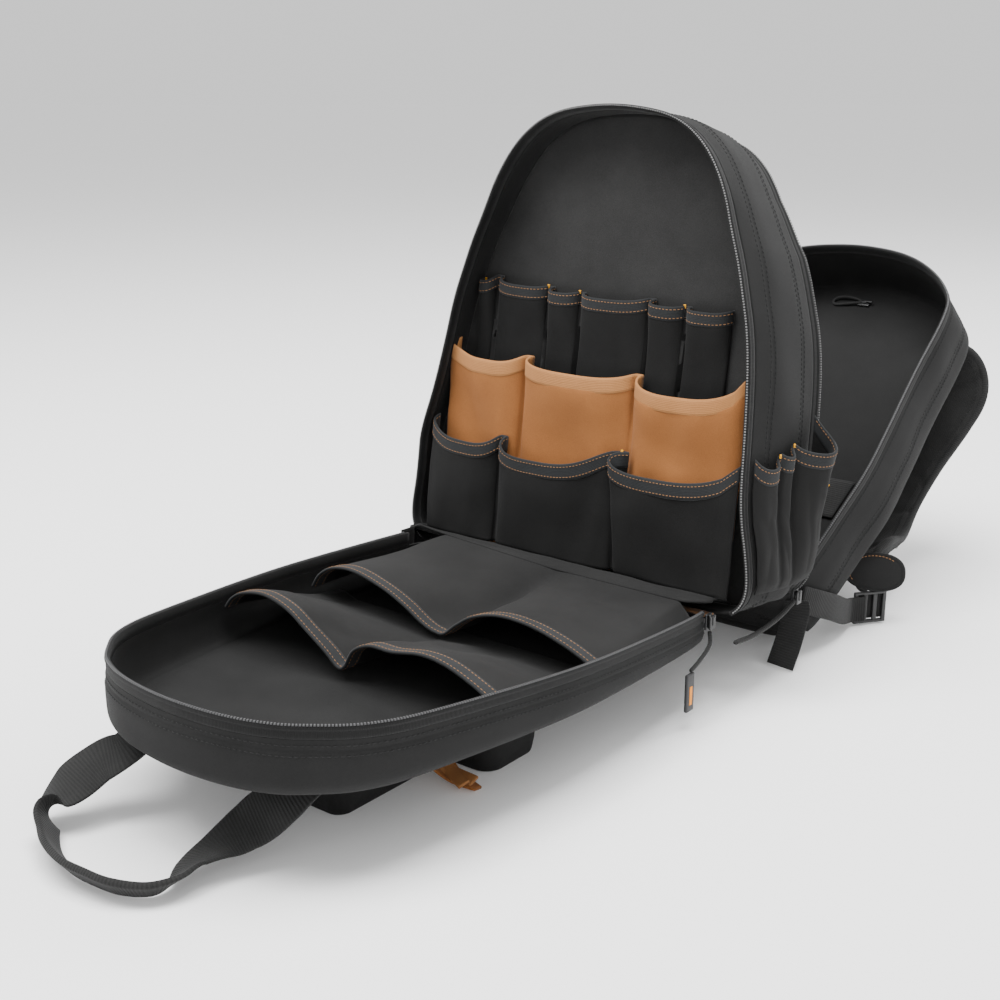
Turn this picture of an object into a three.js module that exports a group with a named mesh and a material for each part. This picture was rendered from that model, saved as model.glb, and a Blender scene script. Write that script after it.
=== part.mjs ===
// Tool backpack, unzipped and opened flat: front lid, standing middle section with pocket rows,
// and rear section leaning back with its shoulder straps. Millimetres, +Z up, front is -Y.
// The hinge line between lid and middle section runs along X at y = 0.
import * as THREE from 'three';

// Driving sizes
const bag_width = 368;
const bag_height = 417;
const mid_depth = 107;
const hinge_height = 75;
const lid_length = 450;
const lid_width = 326;
const lid_wall_hinge = 32;
const lid_wall_end = 53;
const rear_length = 446;
const rear_width = 344;
const rear_wall = 70;
const cloth = 2.4;
const pocket_cloth = 1.6;
const zip_width = 9;
const tape_width = 13;
const strap_width = 62;
const strap_thick = 12;
const webbing_width = 38;
const webbing_thick = 2;
const gap = 0.4;

// Angles of the opened sections, degrees
const mid_lean = 8.9;
const mid_fan = 2.4;
const base_tilt = 5;
const lid_rise = 4.2;
const rear_lean = 53;

// How far the lid stands above the hinge line, and how far its far rear corner is pulled up
const lid_lift = 10;
const lid_warp = 9;

const rad = THREE.MathUtils.degToRad;
const V = (x, y, z) => new THREE.Vector3(x, y, z);
const lerp = THREE.MathUtils.lerp;
const half_width = bag_width / 2;

// Outlines, right half from the middle of the base to the top.
// Columns: height share, half-width share
const MID_OUTLINE = [
  [0, 0], [0, 0.45], [0, 0.83], [0.013, 0.93], [0.04, 0.985], [0.08, 1], [0.15, 0.965], [0.2, 0.932],
  [0.26, 0.91], [0.36, 0.897], [0.48, 0.875], [0.57, 0.845], [0.64, 0.8], [0.7, 0.76], [0.763, 0.705],
  [0.84, 0.645], [0.904, 0.56], [0.943, 0.475], [0.972, 0.375], [0.99, 0.24], [1, 0],
];
const LID_OUTLINE = [
  [0, 0], [0, 0.5], [0, 0.86], [0.012, 0.93], [0.04, 0.965], [0.12, 0.985], [0.28, 1], [0.42, 1],
  [0.55, 0.965], [0.65, 0.925], [0.75, 0.88], [0.81, 0.845], [0.855, 0.795], [0.89, 0.735], [0.927, 0.63],
  [0.95, 0.56], [0.971, 0.45], [0.986, 0.33], [0.996, 0.17], [1, 0],
];
const REAR_OUTLINE = [
  [0, 0], [0, 0.5], [0, 0.88], [0.012, 0.94], [0.04, 0.97], [0.12, 0.985], [0.22, 0.995], [0.34, 1],
  [0.45, 0.965], [0.55, 0.925], [0.65, 0.885], [0.75, 0.855], [0.81, 0.825], [0.85, 0.79], [0.885, 0.72],
  [0.92, 0.625], [0.95, 0.51], [0.973, 0.39], [0.99, 0.24], [1, 0],
];
const rear_skew = 0.145 * rear_width;

// Closed outline loop from a half table: points with outward normals.
function outlineLoop(table, halfW, length, leftMore = () => 0) {
  const right = table.map(([h, w]) => [w * halfW, h * length]);
  const left = right.slice(1, -1).reverse().map(([x, h]) => [-x - leftMore(h), h]);
  const pts = [...right, ...left];
  const n = pts.length;
  return pts.map(([x, h], i) => {
    const a = pts[(i + n - 1) % n];
    const b = pts[(i + 1) % n];
    const t = new THREE.Vector2(b[0] - a[0], b[1] - a[1]).normalize();
    return { x, h, nx: t.y, nh: -t.x };
  });
}

// Half-width share of an outline at a height share, above its base corner.
function outlineAt(table, share) {
  const s = THREE.MathUtils.clamp(share, 0, 0.999);
  const k = table.findIndex(([h]) => h > s);
  const [a, wa] = table[k - 1];
  const [b, wb] = table[k];
  return lerp(wa, wb, (s - a) / (b - a));
}

// Section frames: flat outline position plus depth to a point in space.
function midPoint(x, h, d) {
  const t = d / mid_depth;
  const hs = h / bag_height;
  const lean = rad(mid_lean + mid_fan * t);
  const hh = h * (1 - 0.04 * t);
  const fuller = 0.045 * Math.sin(Math.PI * Math.min(Math.max(hs, 0) / 0.9, 1));
  const narrower = 0.08 * THREE.MathUtils.clamp((hs - 0.74) / 0.12, 0, 1);
  const xx = x * (1 + (fuller - narrower) * t);
  const b = rad(base_tilt);
  return V(xx, d * Math.cos(b) + hh * Math.sin(lean), hinge_height - d * Math.sin(b) + hh * Math.cos(lean));
}
function lidPoint(x, s, d) {
  const r = rad(lid_rise);
  const far = THREE.MathUtils.clamp((-2 * x) / lid_width, 0, 1) * (1 - Math.min(Math.max(s, 0) / lid_length, 1)) ** 2;
  const z = hinge_height + lid_lift + s * Math.sin(r) - d * Math.cos(r) + lid_warp * far * Math.max(1 - d / lid_wall_hinge, 0);
  return V(x, -s * Math.cos(r) - d * Math.sin(r), z);
}
function rearPoint(x, h, d) {
  const p = rad(rear_lean);
  const b = rad(base_tilt);
  const y0 = mid_depth * Math.cos(b);
  const z0 = hinge_height - mid_depth * Math.sin(b);
  const share = THREE.MathUtils.clamp(h / rear_length, 0, 1);
  const xx = x + rear_skew * share ** 1.5;
  return V(xx, y0 + h * Math.sin(p) + d * Math.cos(p), z0 + h * Math.cos(p) - d * Math.sin(p));
}

// Meshes from rings of points. 'loop' joins the last ring to the first, else ends are capped.
function ringSolid(rings, { loop = false, closed = true } = {}) {
  const n = rings[0].length;
  const pos = rings.flat().flatMap((p) => [p.x, p.y, p.z]);
  const idx = [];
  const last = loop ? rings.length : rings.length - 1;
  const cols = closed ? n : n - 1;
  for (let r = 0; r < last; r += 1) {
    const a = r * n;
    const b = ((r + 1) % rings.length) * n;
    for (let c = 0; c < cols; c += 1) {
      const d = (c + 1) % n;
      idx.push(a + c, a + d, b + d, a + c, b + d, b + c);
    }
  }
  const cap = (r, flip) => {
    const mid = rings[r].reduce((s, p) => s.add(p), V(0, 0, 0)).divideScalar(n);
    const m = pos.length / 3;
    pos.push(mid.x, mid.y, mid.z);
    for (let c = 0; c < n; c += 1) {
      const d = (c + 1) % n;
      if (flip) idx.push(m, r * n + d, r * n + c);
      else idx.push(m, r * n + c, r * n + d);
    }
  };
  if (!loop) {
    cap(0, true);
    cap(rings.length - 1, false);
  }
  return solid(pos, idx);
}

// Geometry from positions and triangles, turned to face out.
function solid(pos, idx) {
  let vol = 0;
  const P = (i) => V(pos[3 * i], pos[3 * i + 1], pos[3 * i + 2]);
  for (let i = 0; i < idx.length; i += 3) vol += P(idx[i]).dot(P(idx[i + 1]).cross(P(idx[i + 2])));
  const tris = vol < 0 ? idx.map((v, i) => idx[i % 3 === 0 ? i : i % 3 === 1 ? i + 1 : i - 1]) : idx;
  const geo = new THREE.BufferGeometry();
  geo.setAttribute('position', new THREE.Float32BufferAttribute(pos, 3));
  geo.setIndex(tris);
  geo.computeVertexNormals();
  return geo;
}

// Thick sheet from a grid of points; 'front' and 'back' shares of the thickness sit on each side.
function sheet(grid, thick, front = 0.5) {
  const nv = grid.length;
  const nu = grid[0].length;
  const at = (v, u) => grid[Math.min(Math.max(v, 0), nv - 1)][Math.min(Math.max(u, 0), nu - 1)];
  const pos = [];
  const normals = grid.map((row, v) => row.map((p, u) => {
    const du = at(v, u + 1).clone().sub(at(v, u - 1));
    const dv = at(v + 1, u).clone().sub(at(v - 1, u));
    return du.cross(dv).normalize();
  }));
  for (const side of [front, front - 1]) {
    grid.forEach((row, v) => row.forEach((p, u) => {
      const q = p.clone().addScaledVector(normals[v][u], side * thick);
      pos.push(q.x, q.y, q.z);
    }));
  }
  const m = nv * nu;
  const id = (v, u, s) => s * m + v * nu + u;
  const idx = [];
  const quad = (a, b, c, d) => idx.push(a, b, c, a, c, d);
  for (let v = 0; v < nv - 1; v += 1) {
    for (let u = 0; u < nu - 1; u += 1) {
      quad(id(v, u, 0), id(v, u + 1, 0), id(v + 1, u + 1, 0), id(v + 1, u, 0));
      quad(id(v, u, 1), id(v + 1, u, 1), id(v + 1, u + 1, 1), id(v, u + 1, 1));
    }
  }
  for (let u = 0; u < nu - 1; u += 1) {
    quad(id(0, u, 1), id(0, u + 1, 1), id(0, u + 1, 0), id(0, u, 0));
    quad(id(nv - 1, u, 0), id(nv - 1, u + 1, 0), id(nv - 1, u + 1, 1), id(nv - 1, u, 1));
  }
  for (let v = 0; v < nv - 1; v += 1) {
    quad(id(v, 0, 0), id(v + 1, 0, 0), id(v + 1, 0, 1), id(v, 0, 1));
    quad(id(v, nu - 1, 1), id(v + 1, nu - 1, 1), id(v + 1, nu - 1, 0), id(v, nu - 1, 0));
  }
  return solid(pos, idx);
}

// Strap along a path. Rows: point, side direction, width, thickness.
function strap(rows, corner = 0.18) {
  const rings = rows.map((row, i) => {
    const a = rows[Math.max(i - 1, 0)].p;
    const b = rows[Math.min(i + 1, rows.length - 1)].p;
    const t = b.clone().sub(a).normalize();
    const side = row.side.clone().addScaledVector(t, -row.side.dot(t)).normalize();
    const up = t.clone().cross(side);
    const w = row.w / 2;
    const k = row.k / 2;
    const c = Math.min(corner * row.w, k * 0.9);
    const ring = [[w - c, k], [w, 0], [w - c, -k], [0, -k], [c - w, -k], [-w, 0], [c - w, k], [0, k]];
    return ring.map(([x, y]) => row.p.clone().addScaledVector(side, x).addScaledVector(up, y));
  });
  return ringSolid(rings);
}

// Round cord along a path.
function cord(points, radius, n = 6) {
  const rings = points.map((p, i) => {
    const a = points[Math.max(i - 1, 0)];
    const b = points[Math.min(i + 1, points.length - 1)];
    const t = b.clone().sub(a).normalize();
    const ref = Math.abs(t.z) > 0.8 ? V(1, 0, 0) : V(0, 0, 1);
    const u = ref.clone().cross(t).normalize();
    const w = t.clone().cross(u);
    return Array.from({ length: n }, (_, k) => {
      const g = (2 * Math.PI * k) / n;
      return p.clone().addScaledVector(u, radius * Math.cos(g)).addScaledVector(w, radius * Math.sin(g));
    });
  });
  return ringSolid(rings);
}

// Smooth path through a few points.
function smooth(points, n) {
  return new THREE.CatmullRomCurve3(points, false, 'centripetal').getPoints(n);
}

const group = new THREE.Group();
group.name = 'tool_backpack';
const CLOTH = { black: 0x2a2b2d, tape: 0x45484a, tan: 0xb9835a, tan_tape: 0xc6946a, web: 0x232426 };
function add(name, geometry, color, roughness = 0.85, metalness = 0) {
  const mesh = new THREE.Mesh(geometry, new THREE.MeshStandardMaterial({ color, roughness, metalness }));
  mesh.name = name;
  group.add(mesh);
}

// Loops; the left wall of the middle section sags out a little above its foot
const left_sag = (h) => 0.08 * half_width * Math.exp(-(((h / bag_height - 0.26) / 0.1) ** 2));
const mid_loop = outlineLoop(MID_OUTLINE, half_width, bag_height, left_sag);
const lid_loop = outlineLoop(LID_OUTLINE, lid_width / 2, lid_length);
const rear_loop = outlineLoop(REAR_OUTLINE, rear_width / 2, rear_length);
const ringOf = (loop, point, d, o) => loop.map((q, i) => {
  const off = typeof o === 'function' ? o(q, i) : o;
  return point(q.x + q.nx * off, q.h + q.nh * off, typeof d === 'function' ? d(q, i) : d);
});

// Middle section: soft wall band
const softShare = (q) => (q.nh < -0.5 ? 0.15 : 1);
const mid_bulge = 5;
const wallBulge = (d) => mid_bulge * Math.sin((Math.PI * (d - zip_width)) / (mid_depth - 2 * zip_width));
const gussetOut = (d) => (q) => wallBulge(d) * softShare(q);
const gussetIn = (d) => (q) => wallBulge(d) * softShare(q) - cloth;
const band = [zip_width + gap, ...[0.22, 0.41, 0.6, 0.785].map((k) => k * mid_depth), mid_depth - zip_width - gap];
add('mid_gusset', ringSolid([
  ...band.map((d) => ringOf(mid_loop, midPoint, d, gussetOut(d))),
  ...[...band].reverse().map((d) => ringOf(mid_loop, midPoint, d, gussetIn(d))),
], { loop: true }), CLOTH.black);

// Divider panel that carries the pocket rows
const divider_at = 0.318 * mid_depth;
const divider_thick = 3;
const plate = (d, share) => mid_loop.map((q) => {
  const o = gussetIn(d)(q) - 1.1;
  return midPoint((q.x + q.nx * o) * share, lerp(bag_height * 0.45, q.h + q.nh * o, share), d);
});
add('mid_divider', ringSolid([
  plate(divider_at, 0.5), plate(divider_at, 1), plate(divider_at + divider_thick, 1),
  plate(divider_at + divider_thick, 0.5),
]), CLOTH.black);

// Zip bands run round the sides and top, open at the base
function zipBand(loop, point, from, d0, dir, lift = () => 0) {
  const part = loop.slice(from, loop.length - from + 1);
  const section = [[zip_width, 0], [3, 0.2], [2, 1.2], [-0.6, 0.8], [-0.6, -cloth], [zip_width, -cloth]];
  const rings = part.map((q) => section.map(([d, o]) => {
    const off = o + lift(q);
    return point(q.x + q.nx * off, q.h + q.nh * off, d0 + dir * d);
  }));
  return ringSolid(rings);
}
add('mid_front_zip', zipBand(mid_loop, midPoint, 3, 0, 1), CLOTH.web, 0.6);
add('mid_rear_zip', zipBand(mid_loop, midPoint, 3, mid_depth, -1), CLOTH.web, 0.6);

// Front lid: shallow cup with its rim up
const lidWall = (q) => lerp(lid_wall_hinge, lid_wall_end, Math.min(q.h / lid_length, 1));
const lidRing = (k, o) => ringOf(lid_loop, lidPoint, (q) => k(lidWall(q)), o);
const lidFloor = (lift, share) => lid_loop.map((q) => {
  const s = lid_length * 0.5;
  return lidPoint(q.x * share, lerp(s, q.h, share), lidWall({ h: lerp(s, q.h, share) }) - lift);
});
add('lid_shell', ringSolid([
  lidFloor(0, 0.5), lidRing((w) => w, -10), lidRing((w) => w - 5, -2), lidRing((w) => w * 0.5, 1.5),
  lidRing(() => zip_width + gap, 0), lidRing(() => zip_width + gap, -cloth), lidRing((w) => w * 0.5, 1.5 - cloth),
  lidRing((w) => w - 7, -2 - cloth), lidRing((w) => w - 2.6, -11), lidFloor(2.6, 0.5),
]), CLOTH.black);
add('lid_zip', zipBand(lid_loop, lidPoint, 3, 0, 1), CLOTH.web, 0.6);

// Rear section: deeper cup, its rim facing forward and up
const rearWall = (q) => lerp(rear_wall - 6, rear_wall, Math.min((q.h / rear_length) * 3, 1));
const rearRing = (k, o) => ringOf(rear_loop, rearPoint, (q) => k(rearWall(q)), o);
const rearFloor = (lift, share) => rear_loop.map((q) => {
  const s = rear_length * 0.5;
  return rearPoint(q.x * share, lerp(s, q.h, share), rearWall({ h: lerp(s, q.h, share) }) - lift);
});
const rearFlare = (k) => (q) => (q.nh < -0.5 ? k * 0.1 : k);
add('rear_shell', ringSolid([
  rearFloor(0, 0.5), rearRing((w) => w, rearFlare(4)), rearRing((w) => w - 6, rearFlare(9)),
  rearRing((w) => w * 0.5, rearFlare(7)), rearRing(() => zip_width + gap, 0),
  rearRing(() => zip_width + gap, -cloth), rearRing((w) => w * 0.5, rearFlare(7 - cloth)),
  rearRing((w) => w - 8, rearFlare(9 - cloth)), rearRing((w) => w - 2.6, rearFlare(3)), rearFloor(2.6, 0.5),
]), CLOTH.black);
add('rear_zip', zipBand(rear_loop, rearPoint, 3, 0, 1), CLOTH.web, 0.6);

// Padded back panel behind the rear section; its lower lip rests on the floor
const pad_loop = outlineLoop(REAR_OUTLINE, rear_width * 0.436, rear_length * 0.933);
const pad_thick = 14;
const pad_lip = 13;
const padRing = (lift, share, o = 0) => pad_loop.map((q) => {
  const s = rear_length * 0.45;
  const h = lerp(s, q.h + q.nh * o + 2, share);
  const fuller = 1 + (pad_lip / pad_thick) * Math.exp(-((h / rear_length / 0.14) ** 2));
  const p = rearPoint((q.x + q.nx * o) * share, h, rearWall({ h }) + 2 * gap + lift * fuller);
  p.z = Math.max(p.z, 0);
  return p;
});
add('back_pad', ringSolid([
  padRing(0, 0.5), padRing(0, 1, -3), padRing(pad_thick * 0.45, 1, 0), padRing(pad_thick * 0.85, 1, -4),
  padRing(pad_thick, 1, -14), padRing(pad_thick, 0.5),
]), CLOTH.black);

// Pocket rows on the divider. A row is one pleated panel sewn down between its pockets.
// Columns of seams: seam share of the half width, top share of the height there, lean of the fold
// as a share of the half width, dip of the mouth to the right of the seam as a share of the height.
// Back, front and foot_front are shares of the depth at which the divider stands.
const ROWS = {
  slim: {
    seams: [
      [-0.815, 0.618, 0, 0.01], [-0.7, 0.63, 0, 0.012], [-0.375, 0.618, 0.02, 0.01],
      [-0.185, 0.613, 0.01, 0.012], [0.215, 0.616, 0.03, 0.01], [0.41, 0.608, 0.01, 0.01], [0.665, 0.61, 0, 0],
    ],
    back: 0.946, front: 0.632, foot_front: 0.867, foot: 0.26, tape: tape_width * 0.85, n: 6, ends: 0,
    ramp: 0.6,
  },
  tan: {
    seams: [[-0.85, 0.48, 0, 0.03], [-0.42, 0.46, 0.04, 0.022], [0.225, 0.455, 0.03, 0.046], [0.835, 0.482, 0, 0]],
    back: 0.676, front: 0.22, foot_front: 0.5, foot: 0.0305, tape: tape_width, n: 9, ends: 5, ramp: 0.6,
  },
  bottom: {
    seams: [[-0.93, 0.3, 0, 0.036], [-0.49, 0.277, 0.03, 0.046], [0.235, 0.292, 0.19, 0.05], [0.88, 0.31, 0, 0]],
    back: 0.37, front: 0.015, foot_front: 0.147, foot: 0.038, tape: tape_width, n: 10, ends: 2, ramp: 0,
  },
};
const sew = 3.2;
function rowColumns(row) {
  const cols = [];
  const last = row.seams.length - 2;
  row.seams.slice(0, -1).forEach(([a, top_a, lean_a, dip], k) => {
    const [b, top_b, lean_b] = row.seams[k + 1];
    const x0 = a * half_width + sew;
    const x1 = b * half_width - sew;
    for (let i = 0; i <= row.n; i += 1) {
      const g = (Math.PI * i) / row.n;
      const c = Math.cos(g);
      const u = i / row.n;
      const wall = row.ends > 0 && ((k === 0 && i === 0) || (k === last && i === row.n));
      if (row.ends > 0 && ((k === 0 && i === 1) || (k === last && i === row.n - 1))) continue;
      const out = wall ? 0.8 : Math.max(Math.sin(g), 0) ** 0.55;
      const x = (x0 + x1) / 2 - ((x1 - x0) / 2) * Math.sign(c) * Math.abs(c) ** 0.7;
      const top = (lerp(top_a, top_b, u) - dip * Math.max(Math.sin(Math.PI * u), 0) ** 1.1) * bag_height;
      cols.push({ x: x + (wall ? Math.sign(x) * sew : 0), out, top, lean: lerp(lean_a, lean_b, u) * half_width });
    }
  });
  return cols;
}
function rowPoint(row, col, h) {
  const share = THREE.MathUtils.clamp((h - row.foot * bag_height) / (col.top - row.foot * bag_height), 0, 1);
  const rise = THREE.MathUtils.smoothstep(share, row.ramp, Math.max(row.ramp + 0.35, 1));
  const front = lerp(row.foot_front, row.front, rise);
  const d = lerp(row.back, front, col.out) * divider_at;
  return midPoint(col.x - col.lean * col.out * share, h, d);
}
function rowPanel(row) {
  const foot = row.foot * bag_height;
  const cut = row.tape + (row.ramp > 0 ? 3.4 : 4) * gap;
  return [0, 0.35, 0.7, 1].map((v) => rowColumns(row).map((c) => rowPoint(row, c, lerp(foot, c.top - cut, v))));
}
const rowTape = (row) => [0, 1].map((v) => rowColumns(row).map((c) => rowPoint(row, c, lerp(c.top - row.tape, c.top, v))));
for (const [name, row] of Object.entries(ROWS)) {
  const tan = name === 'tan';
  add(`${name}_pocket_row`, sheet(rowPanel(row), pocket_cloth), tan ? CLOTH.tan : CLOTH.black);
  add(`${name}_pocket_tape`, sheet(rowTape(row), pocket_cloth + 0.8), tan ? CLOTH.tan_tape : CLOTH.tape);
}

// Inner lid pockets: two tiers, each one panel sewn at the middle, mouths toward the free end.
// Columns: across share of the half width, depth below the rim at the mouth as a share of the hinge wall
const TIER_1 = [
  [-0.99, 0.625], [-0.94, 0.281], [-0.84, 0], [-0.68, -0.094], [-0.47, 0.094], [-0.31, 0.375],
  [-0.19, 0.672], [-0.1, 0.812], [-0.03, 0.797], [0.05, 0.469], [0.16, 0.125], [0.33, -0.094],
  [0.53, -0.062], [0.72, 0.156], [0.86, 0.406], [0.95, 0.625], [0.99, 0.781],
];
const TIER_2 = [
  [-0.99, 0.406], [-0.94, 0.125], [-0.85, -0.094], [-0.69, -0.219], [-0.52, -0.062], [-0.37, 0.312],
  [-0.23, 0.688], [-0.14, 0.969], [-0.09, 0.906], [-0.03, 0.438], [0.08, 0.188], [0.23, 0.156], [0.42, 0],
  [0.58, 0.062], [0.75, 0.312], [0.89, 0.625], [0.98, 0.906],
];
const lidInside = (s) => (lid_width / 2) * outlineAt(LID_OUTLINE, s / lid_length) - cloth - 2.2;
function tierPoint(tier, i, s, t) {
  const [x, depth] = tier[i];
  const v = THREE.MathUtils.clamp((s - t.root) / (t.mouth - t.root), 0, 1);
  const ease = v * v * (3 - 2 * v);
  const sag = t.sag * Math.sin(Math.PI * v) * (Math.abs(x) > 0.9 ? 0 : 1);
  const root = t.depth + (Math.abs(x) > 0.9 ? t.edge : 0);
  return lidPoint(x * lidInside(s), s, lerp(root, depth * lid_wall_hinge, ease) + sag);
}
function tierSheet(tier, t, steps) {
  return steps.map((v) => tier.map((_, i) => tierPoint(tier, i, lerp(t.root, t.mouth, v), t)));
}
const tier_1 = {
  root: 0.0267 * lid_length, mouth: 0.351 * lid_length, depth: -1.5, edge: 0.44 * lid_wall_hinge, sag: 3,
};
const tier_2 = { root: 0.2756 * lid_length, mouth: 0.589 * lid_length, edge: -4.5, sag: 1 };
tier_2.depth = lidWall({ h: tier_2.root }) - 2.6 - pocket_cloth / 2 - gap - 0.2;
for (const [name, tier, t] of [['lid_tier_1', TIER_1, tier_1], ['lid_tier_2', TIER_2, tier_2]]) {
  const cut = 1 - tape_width / (t.mouth - t.root);
  const back = cut - (2.5 * gap) / (t.mouth - t.root);
  add(`${name}_pockets`, sheet(tierSheet(tier, t, [0, 0.25, 0.5, 0.75, back]), pocket_cloth), CLOTH.black);
  add(`${name}_tape`, sheet(tierSheet(tier, t, [cut, 1]), pocket_cloth + 0.8), CLOTH.tape);
}

// Floor cloth that runs from the divider foot over the hinge to the first tier
const cover_x = [-0.8, -0.5, -0.2, 0.1, 0.4, 0.8];
const cover = (p) => cover_x.map((x) => p(x * half_width));
add('hinge_cover', sheet([
  cover((x) => midPoint(x, 5, divider_at - 1)), cover((x) => midPoint(x, 10, 22)),
  cover((x) => midPoint(x, 15, 3)), cover((x) => midPoint(x, 14, -4)), cover((x) => lidPoint((x / half_width) * 0.553 * lid_width, 11.3, -1.6)),
], pocket_cloth), CLOTH.black);
const bind_x = [-0.82, -0.4, 0, 0.4, 0.82];
add('hinge_binding', sheet([
  bind_x.map((x) => midPoint(x * half_width, 0.6, zip_width - gap)),
  bind_x.map((x) => midPoint(x * half_width, 0.6, 1.25 * gap)),
], 2.4), 0x6b4a33);

// Side pockets on the right outer wall. Columns: depth and stand-off from the wall as shares of the
// middle depth, top share of height
const SIDE = [
  [0.0981, 0.0112, 0.325], [0.1308, 0.0561, 0.312], [0.2056, 0.0748, 0.306], [0.2991, 0.0654, 0.31],
  [0.3551, 0.015, 0.322], [0.3832, 0.015, 0.334], [0.4112, 0.0561, 0.33], [0.486, 0.0654, 0.33],
  [0.5327, 0.0168, 0.345], [0.5607, 0.0168, 0.352], [0.5888, 0.0841, 0.343], [0.6542, 0.1589, 0.338],
  [0.7477, 0.2243, 0.338], [0.8411, 0.243, 0.345], [0.9065, 0.1869, 0.362], [0.9159, 0.0935, 0.385],
  [0.8972, 0.0187, 0.408],
];
const wallAt = (h) => outlineAt(MID_OUTLINE, Math.min(h / bag_height, 0.47)) * half_width;
const side_foot = 0.06 * bag_height;
function sidePoint([d, out, top], h) {
  const v = THREE.MathUtils.clamp((h - side_foot) / (top * bag_height - side_foot), 0, 1);
  const stand = 3.4 + (out * mid_depth - 1.2) * (0.25 + 0.75 * v);
  const deep = d * mid_depth;
  const bulge = wallBulge(THREE.MathUtils.clamp(deep, zip_width, mid_depth - zip_width));
  return midPoint(wallAt(h) + bulge + stand, h, deep);
}
const sideGrid = (from, to) => from.map((f) => SIDE.map((c) => sidePoint(c, lerp(side_foot, c[2] * bag_height - to, f))));
add('side_pockets', sheet(sideGrid([0, 0.3, 0.65, 1], tape_width + 3.5 * gap), pocket_cloth), CLOTH.black);
add('side_pocket_tape', sheet([tape_width, 0].map((t) => SIDE.map((c) => sidePoint(c, c[2] * bag_height - t))), pocket_cloth + 0.8), CLOTH.tape);

// Bodies cut from flat drawings: a plate with holes, placed by a frame of three directions.
function plateSolid(shape, depth, origin, ux, uy) {
  const geo = new THREE.ExtrudeGeometry(shape, { depth, bevelEnabled: false, curveSegments: 4 });
  const uz = ux.clone().cross(uy);
  const m = new THREE.Matrix4().makeBasis(ux, uy, uz).setPosition(origin);
  geo.applyMatrix4(m);
  return geo;
}
function roundRect(w, h, r, x = 0, y = 0) {
  const s = new THREE.Shape();
  s.moveTo(x - w / 2 + r, y - h / 2);
  s.lineTo(x + w / 2 - r, y - h / 2);
  s.quadraticCurveTo(x + w / 2, y - h / 2, x + w / 2, y - h / 2 + r);
  s.lineTo(x + w / 2, y + h / 2 - r);
  s.quadraticCurveTo(x + w / 2, y + h / 2, x + w / 2 - r, y + h / 2);
  s.lineTo(x - w / 2 + r, y + h / 2);
  s.quadraticCurveTo(x - w / 2, y + h / 2, x - w / 2, y + h / 2 - r);
  s.lineTo(x - w / 2, y - h / 2 + r);
  s.quadraticCurveTo(x - w / 2, y - h / 2, x - w / 2 + r, y - h / 2);
  return s;
}

// Pockets on the outside of the lid, which now carry it on the floor.
// Columns: x from and to as shares of lid width, share of lid length from the hinge at the far and the
// near edge, corner radius as a share of lid width
const OUTER = {
  outer_pocket_upper: [-0.383, 0.163, 0.76, 0.556, 0.037],
  outer_pocket_lower: [-0.383, 0.294, 0.498, 0.356, 0.049],
};
function lidUnder(y) {
  const a = lidPoint(0, 0, lid_wall_hinge);
  const b = lidPoint(0, lid_length, lid_wall_end);
  return a.z + ((y - a.y) / (b.y - a.y)) * (b.z - a.z);
}
function rectLoop([left, right, far, near, corner], inset) {
  const x0 = left * lid_width;
  const x1 = right * lid_width;
  const y0 = -far * lid_length;
  const y1 = -near * lid_length;
  const r = corner * lid_width;
  const pts = [];
  for (const [cx, cy, g0] of [[x1 - r, y0 + r, -90], [x1 - r, y1 - r, 0], [x0 + r, y1 - r, 90], [x0 + r, y0 + r, 180]]) {
    for (const g of [0, 30, 60, 90]) {
      const a = rad(g0 + g);
      pts.push([cx + (r - inset) * Math.cos(a), cy + (r - inset) * Math.sin(a)]);
    }
  }
  return pts;
}
for (const [name, box] of Object.entries(OUTER)) {
  const at = (inset, z) => rectLoop(box, inset).map(([x, y]) => V(x, y, typeof z === 'function' ? z(y) : z));
  const rim = (y) => lidUnder(y) - gap - 0.3;
  add(name, ringSolid([
    at(2.5, 0), at(0, 3), at(-3, (y) => rim(y) * 0.45), at(0, rim), at(cloth, rim),
    at(cloth - 3, (y) => rim(y) * 0.45), at(cloth, 4.6), at(cloth + 2.5, cloth),
  ]), CLOTH.black);
}
// Columns: x share of lid width, share of hinge height
const TAN_TAB = [[0.1735, 0.36], [0.209, 0.2], [0.255, 0.073], [0.316, 0.021]];
add('tan_tab', strap(TAN_TAB.map(([x, z]) => (
  { p: V(x * lid_width, -0.557 * lid_length, z * hinge_height), side: V(0.12, -1, 0), w: webbing_width, k: webbing_thick }
)), 0.05), CLOTH.tan);

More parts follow.
